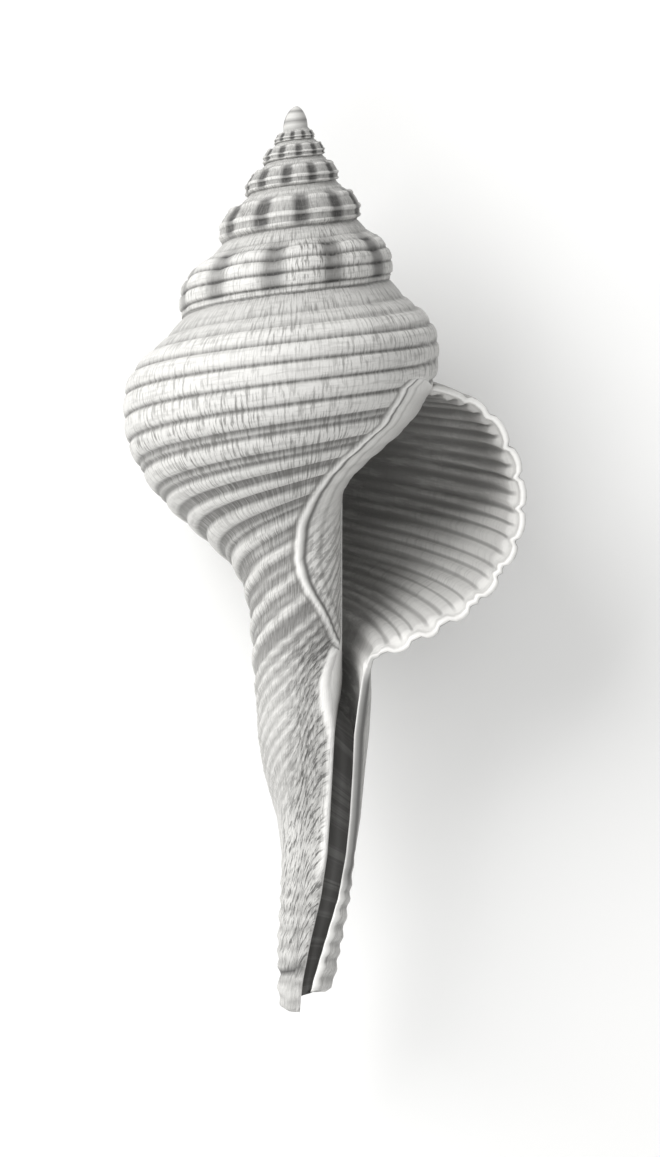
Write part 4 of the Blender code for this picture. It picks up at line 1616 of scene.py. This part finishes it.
    def winding_tree(self) -> bpy.types.NodeTree:
        """Build the tree that winds the unwound skin by the growth rule.

        Returns:
            The tree, with named inputs for its sizes.
        """
        tree = bpy.data.node_groups.new("wind_by_growth", "GeometryNodeTree")
        add = partial(add_node, tree)
        numbers = ["Growth per turn", "Cord height", "Rib height", "Ribs per turn", "Lirae height"]
        numbers += ["Tilt", "Roll"]
        kinds = {"Geometry": "NodeSocketGeometry", **dict.fromkeys(numbers, "NodeSocketFloat")}
        kinds |= {"Tip": "NodeSocketVector", "Finish": "NodeSocketMaterial"}
        for name, kind in kinds.items():
            tree.interface.new_socket(name, in_out="INPUT", socket_type=kind)
        tree.interface.new_socket("Geometry", in_out="OUTPUT", socket_type="NodeSocketGeometry")
        given = add("NodeGroupInput").outputs
        value = {}
        for name in Layer.CARRIED:
            carried = add("GeometryNodeInputNamedAttribute", {"Name": name}, data_type="FLOAT")
            value[name] = carried.outputs["Attribute"]
        flat = add("ShaderNodeSeparateXYZ", [add("GeometryNodeInputPosition")]).outputs

        scale = add(MATH, [given["Growth per turn"], value["turn"]], operation="POWER")
        ribs = add_hills(tree, add(MATH, [value["turn"], given["Ribs per turn"]], **TIMES))
        ribs = add(MATH, [ribs, self.ribs.crown], operation="POWER")
        ridges = add_hills(tree, value["phase"])
        cord = add(MATH, [value["cord"], given["Cord height"]], **TIMES)
        cord = add(MATH, [cord, add(MATH, [scale, self.cord_growth], operation="POWER")], **TIMES)
        rib = add(MATH, [value["rib"], given["Rib height"]], **TIMES)
        rib = add(MATH, [rib, add(MATH, [scale, self.rib_growth], operation="POWER")], **TIMES)
        rib = add(MATH, [rib, ribs], **TIMES)
        lirae = add(MATH, [value["lirae"], given["Lirae height"]], **TIMES)
        out = add(MATH, [add(MATH, [cord, rib], operation="ADD"), value["lift"]], operation="ADD")
        out = add(MATH, [out, add(MATH, [lirae, ridges], **TIMES)], operation="SUBTRACT")

        # Painted shade in the pits between the ribs, joined with the crack and the painted shade line on the
        # canal
        gap = add(RAMP, [ribs, *self.ribs.gap_hills, 0.0, 1.0], **SMOOTH)
        crossed = add(MATH, [value["cord"], -self.ribs.gap_crossed, 1.0], **TIMES_PLUS)
        for factor in (value["rib"], crossed):
            gap = add(MATH, [gap, factor], **TIMES)
        gap = add(MATH, [gap, self.ribs.gap_strength], operation="MULTIPLY", use_clamp=True)
        gap = add(MATH, [gap, value["seam"]], operation="MAXIMUM")

        radius = add(MATH, [flat[0], scale], **TIMES)
        radius = add(MATH, [out, value["out_radius"], radius], **TIMES_PLUS)
        drop = add(MATH, [flat[1], scale], **TIMES)
        drop = add(MATH, [out, value["out_drop"], drop], **TIMES_PLUS)
        angle = add(MATH, [flat[2], 2.0 * math.pi], **TIMES)
        across = add(MATH, [add(MATH, [angle], operation="COSINE"), radius], **TIMES)
        front = add(MATH, [add(MATH, [angle], operation="SINE"), radius], **TIMES)
        place_at = add("ShaderNodeCombineXYZ", [across, add(MATH, [drop, -1.0], **TIMES), front])
        for name, axis in (("Roll", "Y_AXIS"), ("Tilt", "X_AXIS")):
            turned = {"Vector": place_at, "Angle": given[name]}
            place_at = add("ShaderNodeVectorRotate", turned, rotation_type=axis)
        moved = add("ShaderNodeVectorMath", [place_at, given["Tip"]], operation="ADD")
        parts = add("ShaderNodeSeparateXYZ", [moved]).outputs
        rested = add(MATH, [parts[2], 0.0], operation="MAXIMUM")
        settled = add("ShaderNodeCombineXYZ", [parts[0], parts[1], rested])

        gap_mark = {"Geometry": given["Geometry"], "Name": "gap", "Value": gap}
        marked = add("GeometryNodeStoreNamedAttribute", gap_mark, data_type="FLOAT", domain="POINT")
        shaped = add("GeometryNodeSetPosition", {"Geometry": marked, "Position": settled})
        real = add("GeometryNodeRealizeInstances", {"Geometry": shaped})
        dressed = add("GeometryNodeSetMaterial", {"Geometry": real, "Material": given["Finish"]})
        add("NodeGroupOutput", {"Geometry": dressed})
        return tree

    def build(self, tip: Vector) -> bpy.types.Object:
        """Wind the shell and dress it.

        Args:
            tip: The tip of the spire in the frame.

        Returns:
            The finished shell.
        """
        unwound = bpy.data.objects.new("unwound_skin", self.lay_out().mesh("unwound_skin"))
        bpy.context.scene.collection.objects.link(unwound)
        winding = unwound.modifiers.new("winding", "NODES")
        winding.node_group = self.winding_tree()
        sizes = {
            "Growth per turn": self.whorls.growth_per_turn,
            "Cord height": self.cord_height * MM,
            "Rib height": self.rib_height * MM,
            "Ribs per turn": self.ribs.per_turn,
            "Lirae height": self.lirae_height * MM,
            "Tilt": math.radians(self.tilt),
            "Roll": math.radians(self.roll),
            "Tip": tip,
            "Finish": self.finish.build(),
        }
        for item in winding.node_group.interface.items_tree:
            if item.in_out == "INPUT" and item.name in sizes:
                winding[item.identifier] = sizes[item.name]
        wound = bpy.data.meshes.new_from_object(
            unwound.evaluated_get(bpy.context.evaluated_depsgraph_get()),
            preserve_all_data_layers=True,
            depsgraph=bpy.context.evaluated_depsgraph_get(),
        )
        unwound.modifiers.remove(winding)
        bpy.data.objects.remove(unwound, do_unlink=True)
        shell = bpy.data.objects.new("spindle_shell", self.finish_mesh(wound))
        bpy.context.scene.collection.objects.link(shell)
        return shell

    @staticmethod
    def finish_mesh(mesh: bpy.types.Mesh) -> bpy.types.Mesh:
        """Turn the faces outwards, cut the many-cornered ones, and shade the skin smoothly.

        Args:
            mesh: The wound mesh.

        Returns:
            The same mesh.
        """
        shape = bmesh.new()
        shape.from_mesh(mesh)
        many = [face for face in shape.faces if len(face.verts) > 4]
        bmesh.ops.triangulate(shape, faces=many, ngon_method="EAR_CLIP")
        bmesh.ops.recalc_face_normals(shape, faces=shape.faces[:])
        shape.to_mesh(mesh)
        shape.free()
        mesh.name = "spindle_shell"
        mesh.shade_smooth()
        return mesh


@dataclass
class Studio:
    """Floor, soft lights and the camera at the drawing's view."""

    floor_colour: str = "#FBFBFA"
    floor_size: float = 4.0
    floor_roughness: float = 0.9
    # Middle of the drawing, from the tip: right of the axis and below the tip, in millimetres
    middle: tuple = (4.4, 62.65)
    height_seen: float = 153.4
    lens: float = 200.0
    sensor: float = 36.0
    near: float = 0.01
    # Soft lights: name, place and size in metres, and power in watts
    lights: tuple = (("key", (-0.5, 0.34, 0.42), 0.5, 5.0), ("fill", (-0.28, -0.44, 0.5), 0.5, 1.3))
    target: tuple = (0.0, 0.0, 0.02)
    sky: tuple = (1.0, 1.0, 1.0, 1.0)
    sky_strength: float = 0.56

    def floor(self) -> bpy.types.Object:
        """Make the pale matte floor.

        Returns:
            The floor, staged.
        """
        half = self.floor_size / 2.0
        corners = [(right * half, up * half, 0.0) for right, up in ((-1, -1), (1, -1), (1, 1), (-1, 1))]
        mesh = bpy.data.meshes.new("floor")
        mesh.from_pydata(corners, [], [(0, 1, 2, 3)])
        material = bpy.data.materials.new("pale_floor")
        material.use_nodes = True
        shader = material.node_tree.nodes["Principled BSDF"]
        shader.inputs["Base Color"].default_value = linear(self.floor_colour)
        shader.inputs["Roughness"].default_value = self.floor_roughness
        mesh.materials.append(material)
        floor = bpy.data.objects.new("floor", mesh)
        bpy.context.scene.collection.objects.link(floor)
        return floor

    def light(self, name: str, at: tuple, size: float, power: float) -> None:
        """Hang one square soft light that faces the shell.

        Args:
            name: The light's name.
            at: Its place in metres.
            size: Its side in metres.
            power: Its power in watts.
        """
        data = bpy.data.lights.new(name, "AREA")
        data.shape = "SQUARE"
        data.size = size
        data.energy = power
        lamp = bpy.data.objects.new(name, data)
        lamp.location = at
        lamp.rotation_euler = (Vector(self.target) - Vector(at)).to_track_quat("-Z", "Y").to_euler()
        bpy.context.scene.collection.objects.link(lamp)

    def camera(self, shell: Shell, tip: Vector) -> None:
        """Aim the camera straight at the mouth, square to the shell's axis.

        Args:
            shell: The shell, for how it lies.
            tip: The tip of the spire in the frame.
        """
        rolled = Matrix.Rotation(math.radians(shell.roll), 3, "Y")
        turned = Matrix.Rotation(math.radians(shell.tilt), 3, "X") @ rolled
        middle = tip + turned @ Vector((self.middle[0] * MM, -self.middle[1] * MM, 0.0))
        distance = self.lens / self.sensor * self.height_seen * MM
        data = bpy.data.cameras.new("camera")
        data.lens = self.lens
        data.sensor_width = self.sensor
        data.clip_start = self.near
        camera = bpy.data.objects.new("camera", data)
        eye = middle + turned @ Vector((0.0, 0.0, distance))
        camera.matrix_world = Matrix.Translation(eye) @ turned.to_4x4()
        bpy.context.scene.collection.objects.link(camera)
        bpy.context.scene.camera = camera

    def build(self, shell: Shell, tip: Vector) -> None:
        """Set up the whole studio.

        Args:
            shell: The shell, for how it lies.
            tip: The tip of the spire in the frame.
        """
        self.floor()
        for name, at, size, power in self.lights:
            self.light(name, at, size, power)
        world = bpy.data.worlds.new("studio")
        world.use_nodes = True
        sky = world.node_tree.nodes["Background"]
        sky.inputs["Color"].default_value = self.sky
        sky.inputs["Strength"].default_value = self.sky_strength
        bpy.context.scene.world = world
        self.camera(shell, tip)


def main() -> None:
    """Build the shell and its studio."""
    logging.basicConfig(level=logging.INFO, format="%(message)s")
    bpy.context.scene.view_settings.view_transform = "Standard"
    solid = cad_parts["shell"]
    tip = max((vertex.co for vertex in solid.data.vertices), key=lambda corner: corner.y).copy()
    shell = Shell()
    piece = shell.build(tip)
    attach(piece, "root")
    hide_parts("shell")
    log.info("spindle shell: %d faces", len(piece.data.polygons))
    Studio().build(shell, tip)


if __name__ == "__main__":
    main()
